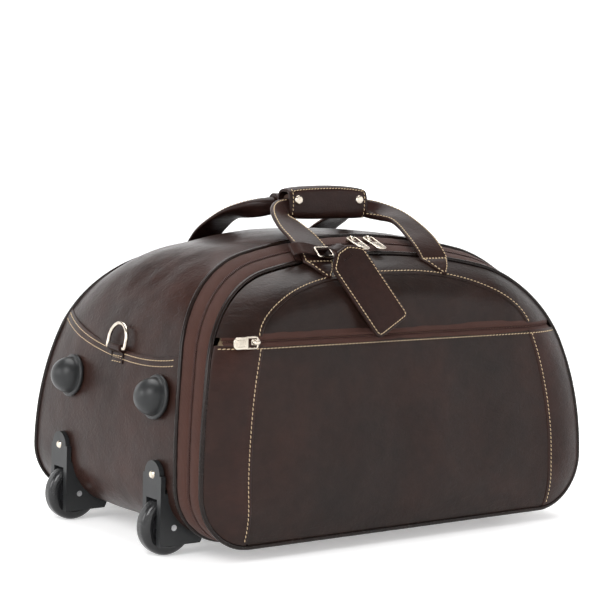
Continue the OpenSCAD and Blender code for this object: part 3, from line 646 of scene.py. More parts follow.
def teeth(name, P, N, A, body, rep, reach=(-2.5, 0.55), closed=True):
    """One half of a spiral zip along P: small bent loops that reach across in direction A."""
    n = int(np.linalg.norm(np.diff(P, axis=0), axis=1).sum() // 2.3)
    c, _ = resample(P, count=n + 1, closed=closed)
    src = np.linspace(0, 1, len(P) + (1 if closed else 0))
    dst = np.linspace(0, 1, n + 1)
    wrap = lambda Q: np.vstack([Q, Q[:1]]) if closed else Q
    pick = lambda Q: unit(np.stack([np.interp(dst, src, wrap(Q)[:, i]) for i in range(3)], -1))
    N2, A2 = pick(N), pick(A)
    c, N2, A2 = c[:-1], N2[:-1], A2[:-1]
    T = unit(np.cross(A2, N2))
    u = np.linspace(0, 1, 6)
    ax = reach[0] + (reach[1] - reach[0]) * u
    rise_ = 0.25 + 0.75 * np.sin(np.pi * np.clip(u * 1.05, 0, 1))
    path = (c[:, None] + A2[:, None] * ax[None, :, None] + N2[:, None] * rise_[None, :, None]
            + T[:, None] * (0.5 * (u - 0.5))[None, :, None])
    rad = 0.62 * np.array([0.5, 0.85, 1, 1.05, 1.15, 0.6])
    V, F = beads(path, rad, T[:, None, None], N2[:, None, None])
    return make(name, V, F, coil_nylon, body, rep, 180)


P, N, s = ring_path(mid_zip + 0.1, -0.9, 1400)
back_dir = np.broadcast_to([0, 1.0, 0], P.shape)
teeth("zip_coil_case_teeth", P, N, -back_dir, "case", ("zip_coil_case",))
P2, N2, _ = ring_path(mid_zip - 0.1, -0.9, 1400)
P2 = P2 + unit(np.roll(P2, -1, 0) - P2) * 1.15
teeth("zip_coil_lid_teeth", P2, N2, back_dir, "lid", ("zip_coil_lid",))


# ---- lid

zip_low, zip_high = pocket_z - 4, pocket_z + 4
edge_in = 2.2
low_turn = math.degrees(math.asin((zip_low - shoulder_c[1]) / (shoulder_r - edge_in)))
high_turn = math.degrees(math.asin((zip_high - shoulder_c[1]) / (shoulder_r - edge_in)))


def inward(t, w):
    x, z, c, s = turned(t)
    return np.array([x - w * c, z - w * s])


def side_line(z):
    arc = side_c[0] + np.sqrt(side_r ** 2 - (np.minimum(z, 196) - mid_z) ** 2) - 50 - np.maximum(0, z - 196) * 0.3
    return np.where(z < mid_z, 200, arc)


def dented(P, N, X, Z):
    w = np.clip(edge_dist(X, Z) / 30, 0, 1)
    return P + N * ((1.1 * soft_dents(P) + 0.22 * small_dents(P)) * w)[..., None]


def add_front(m, G, off, ends):
    """Adds a panel of the front over a grid of x and z, with rounded edges."""
    X, Z = G[..., 0], G[..., 1]
    P = on_front(X, Z, off)
    N = normals(P)
    sign = -1 if N[..., 1].mean() > 0 else 1
    N = N * sign
    Q, _ = rolled(dented(P, N, X, Z), N, ends, 1.1, 2.2)
    return m.grid(Q, flip=sign < 0)


def front_sheet(name, G, off, rep, ends):
    add_front(Mesh(), G, off, ends).build(name, front_leather, "lid", "leather_dark", rep)


def front_line(X, Z, off=0.0):
    """Points and normals along a line on the front, following the panels' dents."""
    P = on_front(X, Z, off)
    e = 0.5
    N = unit(np.cross(on_front(X + e, Z) - on_front(X - e, Z), on_front(X, Z + e) - on_front(X, Z - e)))
    N = N * np.where(N[..., 1:2] > 0, -1, 1)
    return dented(P, N, X, Z), N


def both_sides(grid):
    """Right-hand rows of (x, z) and their mirror image, as one run."""
    return np.concatenate([grid, grid[::-1][1:] * np.array([-1, 1])])


mix_t = lambda n: np.linspace(0, 1, n)[:, None]

# arch band, with a line of stitches along its inner edge
def arch(a):
    return np.array([176 * max(0.0, cosd(a)) ** 0.8, zip_high + 56 * sind(a) ** 1.224])


rows = []
for a in np.linspace(0, 90, 150):
    p = inward(high_turn + (90 - high_turn) * a / 90, edge_in)
    rows.append(p + (arch(a) - p) * mix_t(34))
G = both_sides(np.array(rows))
front_sheet("front_band_leather", G, 0.35, ("front_band",), ("c0", "c1"))
line = both_sides(np.array([arch(a) for a in np.linspace(0, 90, 240)]))
T = unit(np.gradient(line, axis=0))
beyond = np.stack([T[:, 1], -T[:, 0]], -1)
row = (line + 2.7 * beyond)[4:-4]
P, N = front_line(row[:, 0], row[:, 1], 0.35)
stitches("front_band_stitch", P, N, "lid")

# centre panel, under the band's edge
top_edge = (line + 5 * beyond)[8:-8]
rows = [p + (np.array([p[0], zip_high]) - p) * mix_t(40) for p in top_edge]
G = np.array(rows)
front_sheet("center_panel_leather", G, -1.0, ("front_center_panel",), ("c1",))

# pocket panel and the side bands that overlap its ends
Z = (floor_gap + edge_in + (zip_low - floor_gap - edge_in) * mix_t(110)) * np.ones((1, 150))
X = (side_line(Z) + 3) * np.linspace(-1, 1, 150)[None]
X = np.where(Z < 20, np.clip(X, -196, 196), X)
front_sheet("pocket_panel_leather", np.stack([X, Z], -1), 0.0, ("pocket_panel",), ("r0", "r1"))
side_mesh = Mesh()
for side in (-1, 1):
    rows = []
    for turn in np.linspace(-80, low_turn, 150):
        p = inward(turn, edge_in)
        q = np.array([float(side_line(p[1])) - 1.6, p[1]])
        rows.append(p + (q - p) * mix_t(26))
    G = np.array(rows) * np.array([side, 1])
    add_front(side_mesh, G, 0.95, ("c0", "c1", "r1"))
    z = np.linspace(22, zip_low - 2, 120)
    P, N = front_line(side * (side_line(z) + 1.0), z, 0.95)
    stitches(f"side_seam_stitch_{'left' if side < 0 else 'right'}", P, N, "lid")
side_mesh.build("side_bands_leather", body_leather, "lid", "leather_dark", ("pocket_side_bands",))
reach = inward(low_turn, edge_in)[0] - 2
x = np.linspace(-reach, reach, 400)
z = np.full_like(x, zip_low - 2.9)
P, N = front_line(x, z, 0.0)
P = P + N * (0.95 * np.clip((np.abs(x) - side_line(z) + 4) / 2, 0, 1))[:, None]
stitches("pocket_zip_stitch", P, N, "lid")

# pocket zip: two folded tapes that meet over the teeth
m = Mesh()
x = np.linspace(-1, 1, 300)[:, None]
for lo, hi in ((zip_low - 4, pocket_z - 0.45), (pocket_z + 0.45, zip_high + 4)):
    u = np.linspace(0, 1, 15)[None]
    z = lo + (hi - lo) * u
    to_gap = u if lo < pocket_z else 1 - u
    lift = -1.6 + 2.1 * np.sin(np.pi * np.clip(to_gap * 1.02, 0, 1) ** 1.4) + 0.1 * np.sin(x * reach / 3.7)
    P = on_front(x * (reach - 6) * np.ones_like(z), z * np.ones_like(x), lift)
    m.grid(P, flip=normals(P)[..., 1].mean() > 0)
m.build("pocket_zip_cloth", tape_cloth, "lid", "zip_tape", ("pocket_zip_tape",))
x = np.linspace(-reach + 8, reach - 8, 500)
P = on_front(x, np.full_like(x, pocket_z), -1.7)
N = np.broadcast_to([0, -1.0, 0], P.shape)
teeth("pocket_zip_teeth", P, N, np.broadcast_to([0, 0, 1.0], P.shape), "lid", (), (-1.2, 1.2), False)

# ---- carrying handles

anchor_x, strap_w, strap_t = 77.0, 38.0, 3.0
grip_y, grip_z = -12.8, 345.0
rear_shift = 1.2
pivot = np.array([anchor_x, -101.0, 301.8])
rise = 39
wrap_half, wrap_h, wrap_d = 51.5, 34.0, 25.0


def off_face(x, z, off):
    d = float(face(x, z + 0.5) - face(x, z - 0.5))
    return np.array([x, -float(face(x, z)), z]) + off * unit(np.array([0, -1, -d]))


# centre x y z, width direction x y z, width, thickness
strap_rows = [[*off_face(anchor_x, z, off), 1, 0, 0, w, t]
              for z, w, off, t in ((274.5, 6, 0.9, 1.6), (276.5, 10, 1.2, 1.9), (280, 20, 1.8, 2.6),
                                   (284, 29, 2.4, strap_t), (287.5, strap_w, 2.6, strap_t))]
strap_rows += [[anchor_x, -110.3, 292.6, 1, 0, 0, strap_w, strap_t], [*pivot, 1, 0, 0, strap_w, strap_t],
               [anchor_x + 1, -86, 312, 1, 0.03, 0.02, strap_w, strap_t],
               [anchor_x + 2, -68, 321.5, 1, 0.1, 0.06, 35, 3.5],
               [anchor_x, -49, 330, 0.93, 0.25, 0.25, 29, 5],
               [anchor_x - 7, -31, 335, 0.7, 0.35, 0.6, 24, 8],
               [anchor_x - 18, -18, 338.5, 0.3, 0.3, 0.9, 21, 13],
               [46, grip_y, grip_z - 4, 0, 0.05, 1, 19, 17]]
STRAP = spline(strap_rows, 190)
ROWS = np.arange(190)
STRAP_C = STRAP[:, :3]
STRAP_D = unit(np.gradient(STRAP_C, axis=0))
STRAP_O = unit(np.cross(STRAP[:, 3:6], STRAP_D))
STRAP_A = unit(np.cross(STRAP_D, STRAP_O))


def strap_at(i, x):
    """Point and normal of the strap's outer side at row i (a number or an array), x mm off its middle."""
    pick = lambda Q: np.stack([np.interp(i, ROWS, Q[:, j]) for j in range(Q.shape[1])], -1)
    c, o, a, wt = pick(STRAP_C), unit(pick(STRAP_O)), unit(pick(STRAP_A)), pick(STRAP[:, 6:8])
    r = wt[..., 1] / 2
    flat = (wt[..., 0] - wt[..., 1]) / 2
    over = np.clip(np.abs(x) - flat, 0, r * 0.97)
    h = np.sqrt(r * r - over * over)
    n = unit(a * (np.sign(x) * over / r)[..., None] + o * (h / r)[..., None])
    return c + a * np.asarray(x)[..., None] + o * h[..., None], n


def stadium(w, t):
    """Outline of a flat section with round ends, as (across, out) points."""
    c, r = (w - t) / 2, t / 2
    a = np.linspace(90, -90, 10)
    right = np.stack([c + r * cosd(a), r * sind(a)], -1)
    flat = np.linspace(-c, c, 12)[1:-1]
    top = np.stack([flat, 0 * flat + r], -1)
    left = right * np.array([-1, -1])
    return np.concatenate([top, right, top * np.array([-1, -1]), left])


def strap_row(z):
    """The strap's row where its middle stands at height z."""
    return float(np.interp(z, STRAP_C[:, 2], ROWS))


def handle(name, side, bodies, rep_names, wrapped):
    """A handle: two sewn straps whose legs roll up into the grip. side -1 is the front, 1 the rear."""
    shift = np.clip((ROWS - strap_row(296)) / (strap_row(308) - strap_row(296)), 0, 1) * rear_shift

    def moved(P, i):
        if side < 0:
            return P
        s = np.interp(i, ROWS, shift)
        return P * np.array([1, -1, 1]) + np.stack([0 * s, s, 0 * s], -1)

    body_a, body_b = bodies
    m = Mesh()
    for sx in (-1, 1):
        G = []
        for row, out, across in zip(STRAP, STRAP_O, STRAP_A):
            sec = stadium(*row[6:8])
            G.append(row[:3] + sec[:, :1] * across + sec[:, 1:] * out)
        G = np.array(G)
        G = moved(G + 0.12 * small_dents(G)[..., None] * STRAP_O[:, None], ROWS[:, None] * np.ones(G.shape[1]))
        G = G * np.array([sx, 1, 1])
        base = m.n
        r, c = G.shape[:2]
        right_way = (sx > 0) == (side < 0)
        m.grid(G, close_c=True, flip=right_way)
        m.f.append(list(range(base, base + c))[::1 if right_way else -1])
        m.f.append(list(range(base + (r - 1) * c, base + r * c))[::-1 if right_way else 1])
    o = m.build(name + "_leather", trim_leather, None, None)
    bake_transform(o)
    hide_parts(*rep_names)
    lines = []
    top, low = strap_row(290.6), strap_row(288.8)
    k = np.linspace(top, len(STRAP) - 8, 200)
    w = np.interp(k, ROWS, STRAP[:, 6]) / 2
    for edge in (-1, 1):
        lines.append((k, edge * (w - 2.4)))
    x = np.linspace(-strap_w / 2 + 1.8, strap_w / 2 - 1.8, 30)
    lines += [(0 * x + top, x), (0 * x + low, x)]
    k = np.linspace(low, strap_row(276.0), 40)
    w = np.interp(k, ROWS, STRAP[:, 6]) / 2
    point = [(k, edge * np.maximum(w - 2.4, 0.3)) for edge in (-1, 1)]
    for sx in (-1, 1):
        for q, (i, x) in enumerate(lines + point):
            P, N = strap_at(i, x)
            P = moved(P, i) * np.array([sx, 1, 1])
            N = N * np.array([sx, 1 if side < 0 else -1, 1])
            s = stitches(f"{name}_stitch_{'l' if sx < 0 else 'r'}{q}", P, N, None, True)
            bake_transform(s)
    # rolled grip with a sewn seam under it
    x = np.linspace(-47, 47, 120)
    gy = grip_y if side < 0 else -grip_y + rear_shift
    P = np.stack([x, 0 * x + gy, grip_z + 0.25 * np.sin(x / 9)], -1)
    G = tube(P, 9.0 + 0.2 * np.sin(x / 13), 40, up=(0, 0, 1))
    core = (rep_names[1].replace("strap", "grip_core"),)
    capped(Mesh(), G).build(name + "_grip_leather", padding_mat if wrapped else trim_leather, body_b, "padding", core)
    for dy, letter in () if wrapped else ((-1.9, "a"), (1.9, "b")):
        a = math.asin(dy / 9)
        down = np.array([0, math.sin(a), -math.cos(a)])
        stitches(f"{name}_grip_stitch_{letter}", P + 9.05 * down, np.broadcast_to(down, P.shape), body_b, True)


handle("front_strap", -1, ("lid", "front_handle"), ("front_anchors", "front_strap"), True)
handle("rear_strap", 1, ("case", "rear_handle"), ("rear_anchors", "rear_strap"), False)

# wrap round the front grip, a little higher in its middle
x = np.linspace(-1, 1, 121)
hump = 3.2 * (1 - x ** 2) - 1.2 - 1.0 * np.abs(x) ** 8
a = np.linspace(0, 360, 97)[:-1]
p = 3.4
sec = np.stack([np.sign(q) * np.abs(q) ** (2 / p) * size / 2
                for q, size in ((sind(a), wrap_d), (cosd(a), wrap_h))], -1)
G = np.stack([x[:, None] * wrap_half * np.ones(len(a)),
              grip_y + sec[None, :, 0] * (1 - 0.06 * np.abs(x) ** 6)[:, None],
              grip_z + sec[None, :, 1] + (hump[:, None] * np.clip(sec[None, :, 1] / 10, -0.3, 1))], -1)
N = normals(G, 1, close_c=True)
N = N * (1 if (N[:, 0, 2].mean() > 0) else -1)
G = G + N * (0.25 * small_dents(G * 0.8) + 0.2 * soft_dents(G * 2))[..., None]
WRAP, WRAP_N = G, N
Q, M = rolled(G, N, ("r0", "r1"), 1.1, 2.6)
flip = np.sum(normals(G, 1, close_c=True) * N) < 0
m = Mesh().grid(Q, close_c=True, flip=flip)
m.grid(G - 2.4 * N, close_c=True, flip=not flip)
m.build("grip_wrap_leather", trim_leather, "front_handle", "leather_trim", ("grip_wrap",))


def wrap_front(x, z):
    """Point and normal of the wrap's front side at x and about z."""
    i = np.interp(x, np.linspace(-wrap_half, wrap_half, 121), np.arange(121))
    front = [j for j in range(len(a)) if sec[j, 0] < 0]
    j = min(front, key=lambda j: abs(WRAP[60, j, 2] - z))
    pick = lambda Q: np.stack([np.interp(i, np.arange(121), Q[:, j, c]) for c in range(3)], -1)
    return pick(WRAP), unit(pick(WRAP_N))


x = np.linspace(-47.2, 47.2, 90)
stitches("wrap_stitch_top", *wrap_front(x, grip_z + 15.6), "front_handle", True)
for k, i in (("left", 4), ("right", 116)):
    pts = [j for j in range(len(a)) if sec[j, 0] < -1 and abs(sec[j, 1]) < 16.3]
    stitches(f"wrap_stitch_{k}", WRAP[i, pts], WRAP_N[i, pts], "front_handle", True)
m = Mesh()
for sx in (-1, 1):
    P, N = wrap_front(np.array([sx * 41.0]), grip_z + 3)
    Z = N[0]
    X = unit(np.cross([0, 0, 1.0], Z))
    prof = [(0.01, 1.75), (2.2, 1.7), (3.6, 1.45), (4.5, 1.0), (4.95, 0.45), (5.05, 0.1), (4.9, -0.3),
            (2.0, -0.5), (0.01, -0.5)]
    m.grid(placed(lathe(spline(prof, 40), 48), P[0], X, np.cross(Z, X), Z), close_c=True, flip=True)
m.build("snap_caps", nickel, "front_handle", "nickel", ("wrap_snaps",))


# ---- shared shapes for fittings

def out_grid(m, P, centre, close_r=False):
    """Adds a grid closed across its columns to a Mesh, with its faces turned away from centre."""
    n = np.cross(np.gradient(P, axis=0), np.gradient(P, axis=1))
    return m.grid(P, close_r, True, flip=bool(np.sum(n * (P - centre)) < 0))


def round_poly(points, radii, n=8):
    """Convex polygon with rounded corners, counter-clockwise."""
    pts = np.array(points, float)
    out = []
    for i, r in enumerate(radii):
        p, a, b = pts[i], pts[i - 1], pts[(i + 1) % len(pts)]
        u, v = unit(a - p), unit(b - p)
        half = math.acos(np.clip(u @ v, -1, 1)) / 2
        t = r / math.tan(half)
        c = p + unit(u + v) * r / math.sin(half)
        s0, s1 = p + u * t - c, p + v * t - c
        a0, a1 = math.atan2(s0[1], s0[0]), math.atan2(s1[1], s1[0])
        a1 = a0 + (a1 - a0 + math.pi) % (2 * math.pi) - math.pi
        out += [c + r * np.array([math.cos(k), math.sin(k)]) for k in np.linspace(a0, a1, n)]
    return np.array(out)


def inset(poly, d):
    T = unit(np.roll(poly, -1, 0) - np.roll(poly, 1, 0))
    n = np.stack([T[:, 1], -T[:, 0]], -1)
    area = np.sum(poly[:, 0] * np.roll(poly[:, 1], -1) - poly[:, 1] * np.roll(poly[:, 0], -1))
    return poly - (n if area > 0 else -n) * d


def slab(m, poly, t, r, frame_, bulge=0.0):
    """A plate with rounded edges from a convex outline, lying in frame_ with its thickness along Z."""
    mid = poly.mean(0)
    front = [(inset(poly, r * (1 - sind(90 - a)) if a < 90 else r), t / 2 - r + r * sind(a))
             for a in np.linspace(0, 90, 5)]
    base = front[-1][0]
    for u in (0.06, 0.14, 0.3, 0.5, 0.7, 0.86, 0.97, 1.0):
        swell = bulge * math.sin(math.pi / 2 * min(1, u * 1.5))
        front.append((mid + (base - mid) * max(1 - u, 0.001), t / 2 + swell))
    back = [(p, -h) for p, h in front][::-1]
    P = np.array([np.column_stack([p, np.full(len(p), h)]) for p, h in back + front])
    return out_grid(m, placed(P, *frame_), centre=placed(np.array([*mid, 0.0]), *frame_))


def outline_at(poly, h, step):
    """A closed 2-D outline at height h, in even steps."""
    return resample(np.column_stack([poly, np.full(len(poly), h)]), step, closed=True)[0][:-1]


def wire(m, P, r, n, frame_):
    """Adds a closed round wire along P to a Mesh."""
    G = placed(tube(P, r, n, True, (0, 0, 1)), *frame_)
    return out_grid(m, G, G.mean(1, keepdims=True), True)


def closed_ends(m, G):
    """Adds an open tube grid to a Mesh with flat ends, faces outward."""
    n = np.cross(np.gradient(G, axis=0), np.gradient(G, axis=1))
    if np.sum(n * (G - G.mean(1, keepdims=True))) < 0:
        G = G[:, ::-1]
    base, (rows_, c) = m.n, G.shape[:2]
    m.grid(G, close_c=True)
    m.f += [list(range(base, base + c))[::-1], list(range(base + (rows_ - 1) * c, base + rows_ * c))]
    return m


def strip(m, rows):
    """Adds a strip with round edges through rows of centre, width direction, width and thickness."""
    R = spline(rows, 60)
    D = unit(np.gradient(R[:, :3], axis=0))
    O = unit(np.cross(R[:, 3:6], D))
    A = unit(np.cross(D, O))
    G = []
    for row, across, out in zip(R, A, O):
        sec = stadium(*row[6:8])
        G.append(row[:3] + sec[:, :1] * across + sec[:, 1:] * out)
    return closed_ends(m, np.array(G))


# ---- luggage tag

tag_top = np.array([-63.0, -130.6, 304.5])
tag_down = unit(np.array([0.454, -0.362, -0.814]))
tag_side = unit(np.array([0.891, 0.185, 0.415]))
tag_out = unit(np.cross(tag_down, tag_side))
tag_out = tag_out if tag_out[1] < 0 else -tag_out
tag_frame = (tag_top, tag_side, tag_down, tag_out)
tag_poly = round_poly([(-8.5, 0.6), (8.5, 0.6), (25.8, 12.2), (25.8, 97.8), (-25.8, 97.8), (-25.8, 12.2)],
                      [2, 2, 9, 7, 7, 9])
slab(Mesh(), tag_poly, 3.5, 1.3, tag_frame, 0.5).build("tag_leather", trim_leather, "tag", "leather_trim", ("tag_body",))
P = placed(outline_at(inset(tag_poly, 2.7), 1.95, 1.2), *tag_frame)
stitches("tag_stitch", P, np.broadcast_to(tag_out, P.shape), "tag", True, True)

tag_pivot = np.array([-74.0, -113.5, 300.6])
m = Mesh()
strip(m, [[*(tag_pivot + (0, 2.5, -1.2)), 1, 0, 0, 14, 1.8], [*(tag_pivot + (0, -1, 1.2)), 1, 0, 0, 14, 1.8],
          [*(tag_pivot + (2, -7, 3.6)), 0.98, 0.06, 0.14, 14, 1.8],
          [*(tag_pivot + (6, -13, 5)), 0.94, 0.12, 0.28, 14, 1.8],
          [*(tag_top + 3 * tag_down + 0.4 * tag_out), 0.89, 0.185, 0.415, 14, 1.8],
          [*(tag_top + 12 * tag_down + 1.9 * tag_out), 0.89, 0.185, 0.415, 13.5, 1.8]])
m.build("tag_strap_leather", trim_leather, "tag", "leather_trim", ("tag_strap",))
c, s_ = cosd(rise), sind(rise)
buckle_frame = (tag_pivot + np.array([0, -2 * c - 0.5 * s_, -2 * s_ + 0.5 * c]),
                (1, 0, 0), (0, c, s_), (0, -s_, c))
m = Mesh()
outline = round_poly([(-9, -7), (9, -7), (9, 6), (-9, 6)], [2.2] * 4, 8)
wire(m, outline_at(outline, 1.0, 0.8), 1.15, 12, buckle_frame)
m.build("tag_buckle_metal", nickel, "tag", "nickel", ("tag_buckle",))

# leather loop round the strap, which carries the tag
loop_c = np.array([-77.0, -106.5, 296.5])
lc, ls = cosd(45.7), sind(45.7)
lf = (loop_c, (1, 0, 0), (0, lc, ls), (0, -ls, lc))
outline = spline([(-14, -3.0), (0, -3.0), (16, -3.0), (21.0, -1.6), (21.2, 1.6), (17, 3.9), (4, 5.6), (-10, 7.6),
                  (-21, 8.2), (-28.5, 4.8), (-29, 0.2), (-24, -2.6), (-14, -3.0)], 160)[:-1]
outline = np.column_stack([outline, np.zeros(len(outline))])
T = unit(np.roll(outline, -1, 0) - np.roll(outline, 1, 0))
out = unit(np.cross(T, np.array([0, 0, 1.0])))
wide = 9.5 + 5.5 * np.clip((outline[:, 1] + 2) / 5, 0, 1)
secs = np.array([stadium(w, 1.7) for w in wide])
slant = -0.16 * outline[:, 0] * np.clip((outline[:, 1] + 2) / 5, 0, 1)
G = outline[:, None] + secs[..., 1:] * out[:, None] + (secs[..., :1] + slant[:, None, None]) * np.array([0, 0, 1.0])
m = Mesh()
G = placed(G[..., [0, 2, 1]], *lf)
out_grid(m, G, G.mean(1, keepdims=True), True)
m.build("tag_loop_leather", trim_leather, "lid", "leather_trim", ("tag_loop",))

# ---- zip sliders and pullers

slide_y, slide_z = -(half_depth - lean - zip_w / 2), top_z + 10.9
puller_z = slide_z + 4.5


def slider(name, body, frame_, rep, w=4.2):
    """A zip slider: a bowed body with a bridge that holds the puller."""
    m = Mesh()
    outline = round_poly([(-w, -5), (w, -5), (w * 0.8, 5), (-w * 0.8, 5)], [1.8, 1.8, 1.2, 1.2], 6)
    slab(m, outline, 2.0, 0.8, (placed(np.array([0, 0, 1.0]), *frame_), *frame_[1:]), 0.3)
    a = np.linspace(0, 180, 25)
    path = np.stack([0 * a, 3.6 * cosd(a), 1.8 + 3.9 * sind(a) ** 0.7], -1)
    closed_ends(m, tube(placed(path, *frame_), 1.0, 12, up=frame_[1], flat=1.7))
    m.build(name, nickel, body, "nickel", rep)


def puller(name, body, frame_, rep, length, w):
    """A bow through the slider's bridge with a rounded plate on it; Y runs down the puller."""
    m = Mesh()
    box = lambda a, lo, hi: [(-a, lo), (a, lo), (a, hi), (-a, hi)]
    bow = round_poly(box(w / 2 - 0.6, -0.1, length - 14), [2.0, 2.0, 1.6, 1.6], 8)
    wire(m, outline_at(bow, 0, 0.7), 0.95, 12, frame_)
    plate = round_poly(box(w / 2, length - 17, length), [2.4, 2.4, 4.5, 4.5], 10)
    slab(m, plate, 2.0, 0.8, frame_, 0.25)
    rim = round_poly(box(w / 2 - 2.6, length - 13, length - 3.2), [1.5, 1.5, 2.4, 2.4], 8)
    wire(m, outline_at(rim, 1.15, 0.7), 0.45, 8, frame_)
    m.build(name, nickel, body, "nickel", rep)


c, s_ = cosd(20), sind(20)
for sx, side in ((-1, "left"), (1, "right")):
    name = f"main_slider_{side}"
    slider(name + "_metal", name, ((sx * 11.0, slide_y, slide_z), (1, 0, 0), (0, 1, 0), (0, 0, 1)), (name,))
    name = f"main_puller_{side}"
    puller(name + "_metal", name, ((sx * 11.0, slide_y, puller_z), (1, 0, 0), (0, -c, -s_), (0, -s_, c)), (name,), 30, 13)
across = ((0, 0, 1), (-1, 0, 0), (0, -1, 0))
slider("pocket_slider_metal", "pocket_slider", ((-186.0, -158.6, pocket_z), *across), ("pocket_slider",), 3.3)
puller("pocket_puller_metal", "pocket_puller", ((-186.0, -163.2, pocket_z), *across), ("pocket_puller",), 28, 12)

# ---- shoulder-strap rings

for sx, side in ((-1, "left"), (1, "right")):
    a = np.linspace(0, 180, 49)
    path = np.concatenate([[[y, 0] for y in np.linspace(-17, 17, 25)], [[17, z] for z in (2, 4, 6)],
                           np.stack([17 * cosd(a), 8 + 17 * sind(a)], -1), [[-17, z] for z in (6, 4, 2)]])
    c, s_ = cosd(12), sind(12)
    frame_ = ((sx * 249.0, 0, 197.0), (0, 1, 0), (-sx * s_, 0, c), (c, 0, sx * s_))
    wire(Mesh(), outline_at(path, 0, 1.0), 2.0, 14, frame_).build(f"ring_{side}_metal", nickel, f"ring_{side}", "nickel", (f"d_ring_{side}",))
    # folded tab: round the bar, then down on the panel to its stitches
    wall = lambda z: float(gusset(np.array(s_at_z(z)), np.array(0.0))[0])
    prof = np.array([(3.9 * cosd(q), 3.9 * sind(q)) for q in np.linspace(-35, 170, 22)]
                    + [(wall(z) - 0.8 - 249, z - 197) for z in (193, 187, 181)]
                    + [(wall(z) + 2.6 - 249, z - 197) for z in (180.5, 184, 188, 191)])
    m = slab(Mesh(), outline_at(prof, 0, 0.6)[:, :2], 23.0, 0.7, ((sx * 249.0, 0, 197.0), (sx, 0, 0), (0, 0, 1), (0, 1, 0)))
    m.build(f"ring_tab_{side}_leather", trim_leather, "case", "leather_trim", (f"ring_tab_{side}",))
    for k, z in enumerate((182.3, 188.0)):
        y = np.linspace(-9.5, 9.5, 20)
        P = np.stack([0 * y + sx * (wall(z) + 2.7), y, 0 * y + z], -1)
        stitches(f"ring_tab_{side}_stitch_{k}", P, np.broadcast_to([sx, 0, 0.1], P.shape), "case", True)

# ---- tyres and bumpers

arc = [(23.6 + 6.4 * cosd(q), 2.6 + 6.4 * sind(q)) for q in np.linspace(88, 2, 14)]
back = lambda run: [(r, -h) for r, h in run[::-1]]
shoulder = [(19.05, 8.6), (19.6, 9.0), (23, 9.0)]
tread = back(shoulder[:1]) + [(19.05, h) for h in (-5, 0, 5)] + shoulder + arc + [(30.0, 1.2)]
tread += back(arc + [(30.0, 1.2)]) + back(shoulder)
dome = [(0.02, 0.0), (20.5, 0.0), (21.8, 0.2), (22.4, 0.9), (22.5, 1.8), (22.3, 2.9), (21.6, 3.7), (20.6, 4.0),
        (19.6, 4.1)] + [(19.0 * cosd(q), 5 + 19.0 * sind(q)) for q in np.linspace(3, 89.9, 30)]
bz = unit(np.array([-0.987, 0, 0.163]))
bx = np.array([0, 1.0, 0])
for sy, side in ((-1, "front"), (1, "rear")):
    at = ((-245.0, sy * 95.0, 30.0), (1, 0, 0), (0, 0, 1), (0, 1, 0))
    middle = placed(lathe([(24.5, 0.0)] * len(tread), 96), *at)
    out_grid(Mesh(), placed(lathe(tread, 96), *at), middle).build(
        f"tyre_{side}_rubber", wheel_black, f"wheel_{side}", "rubber", (f"tyre_{side}",))
for sy, side in ((-1, "front"), (1, "rear")):
    bc = np.array([-251.3, sy * 85.0, 157.0])
    out_grid(Mesh(), placed(lathe(dome, 96), bc, bx, np.cross(bz, bx), bz), bc + bz * 5).build(
        f"bumper_{side}_dome", dome_black, "case", "black_plastic", (f"bumper_{side}",))

# ---- carried-over CAD nodes

# material, bevel width in mm (0 leaves the edges as they are) and the nodes that get them
for mat, width, names in (
        (lining_cloth, 0, ("lining_shell", "lining_back", "lid_lining")), (board_mat, 0, ("base_board",)),
        (steel, 0, ("axles",)), (hub_black, 0.4, ("hub_front", "hub_rear")),
        (dome_black, 1.6, ("wheel_housing_front", "wheel_housing_rear")), (nickel, 0.5, ("housing_rivets",)),
        (black_plastic, 1.8, ("skid_feet",)), (black_plastic, 2.2, ("trolley_bezel",)),
        (black_plastic, 1.2, ("trolley_grip",)), (hub_black, 1.0, ("trolley_button",)),
        (tube_metal, 0.2, ("trolley_sleeves", "inner_tubes")), (tube_metal, 0.3, ("middle_tubes",))):
    for o in (NODES[n] for n in names):
        o.data.materials.clear()
        o.data.materials.append(mat)
        if width:
            bev = o.modifiers.new("soft_edges", "BEVEL")
            bev.width, bev.segments = width * 0.001, 3
            bev.limit_method, bev.angle_limit = "ANGLE", math.radians(40)
            bev.harden_normals = True

# ---- floor, light and camera

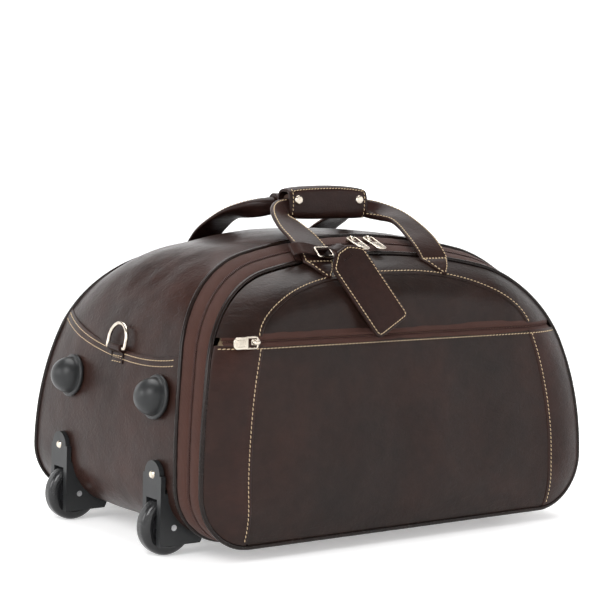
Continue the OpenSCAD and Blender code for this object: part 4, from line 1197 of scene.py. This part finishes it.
def area(name, loc, target, size, power, color=(1, 1, 1), size_y=None):
    l = bpy.data.lights.new(name, "AREA")
    l.shape, l.size, l.size_y = "RECTANGLE", size, size_y or size
    l.energy, l.color = power, color
    o = bpy.data.objects.new(name, l)
    o.location = loc
    o.rotation_mode = "QUATERNION"
    o.rotation_quaternion = (Vector(loc) - Vector(target)).to_track_quat("Z", "Y")
    bpy.context.scene.collection.objects.link(o)
    return o


def backdrop(name, V, F, rough, spec, glow):
    m = Nodes(name)
    m.set(Base_Color=(0.9, 0.9, 0.9), Roughness=rough, Specular_IOR_Level=spec,
          Emission_Color=(1, 1, 1), Emission_Strength=glow)
    me = bpy.data.meshes.new(name)
    me.from_pydata(V, [], F)
    me.materials.append(m.mat)
    o = bpy.data.objects.new(name, me)
    bpy.context.scene.collection.objects.link(o)


backdrop("floor", [(-9, -9, 0), (9, -9, 0), (9, 9, 0), (-9, 9, 0)], [(0, 1, 2, 3)], 0.6, 0.3, 0.36)
# pale wall all round, far off
a = np.linspace(0, 2 * np.pi, 65)[:-1]
foot = np.stack([8.9 * np.cos(a), 8.9 * np.sin(a)], -1)
backdrop("wall", [(*p, h) for h in (-0.01, 5.0) for p in foot],
         [(i, (i + 1) % 64, 64 + (i + 1) % 64, 64 + i) for i in range(64)], 0.9, 0.0, 0.85)

world = bpy.data.worlds.new("studio")
bpy.context.scene.world = world
world.use_nodes = True
world.node_tree.nodes["Background"].inputs["Color"].default_value = (1, 1, 1, 1)
world.node_tree.nodes["Background"].inputs["Strength"].default_value = 0.3
area("key", (-1.9, -1.3, 1.8), (0, 0, 0.15), 1.2, 42)
area("top", (0.3, 0.4, 1.9), (0, 0, 0.2), 1.5, 36)
area("side", (-2.2, 0.5, 0.9), (0, 0, 0.15), 1.0, 13)

cam = bpy.data.cameras.new("camera")
cam.sensor_width, cam.lens = 36, 108.1
cam.clip_start, cam.clip_end = 0.1, 100
camera = bpy.data.objects.new("camera", cam)
bpy.context.scene.collection.objects.link(camera)
camera.matrix_world = Matrix.Translation((-1.2028, -1.6264, 0.4304))
for angle, axis in ((-36.31, "Z"), (84.32, "X"), (1.66, "Z")):
    camera.matrix_world = camera.matrix_world @ Matrix.Rotation(math.radians(angle), 4, axis)
bpy.context.scene.camera = camera
bpy.context.scene.view_settings.view_transform = "Standard"
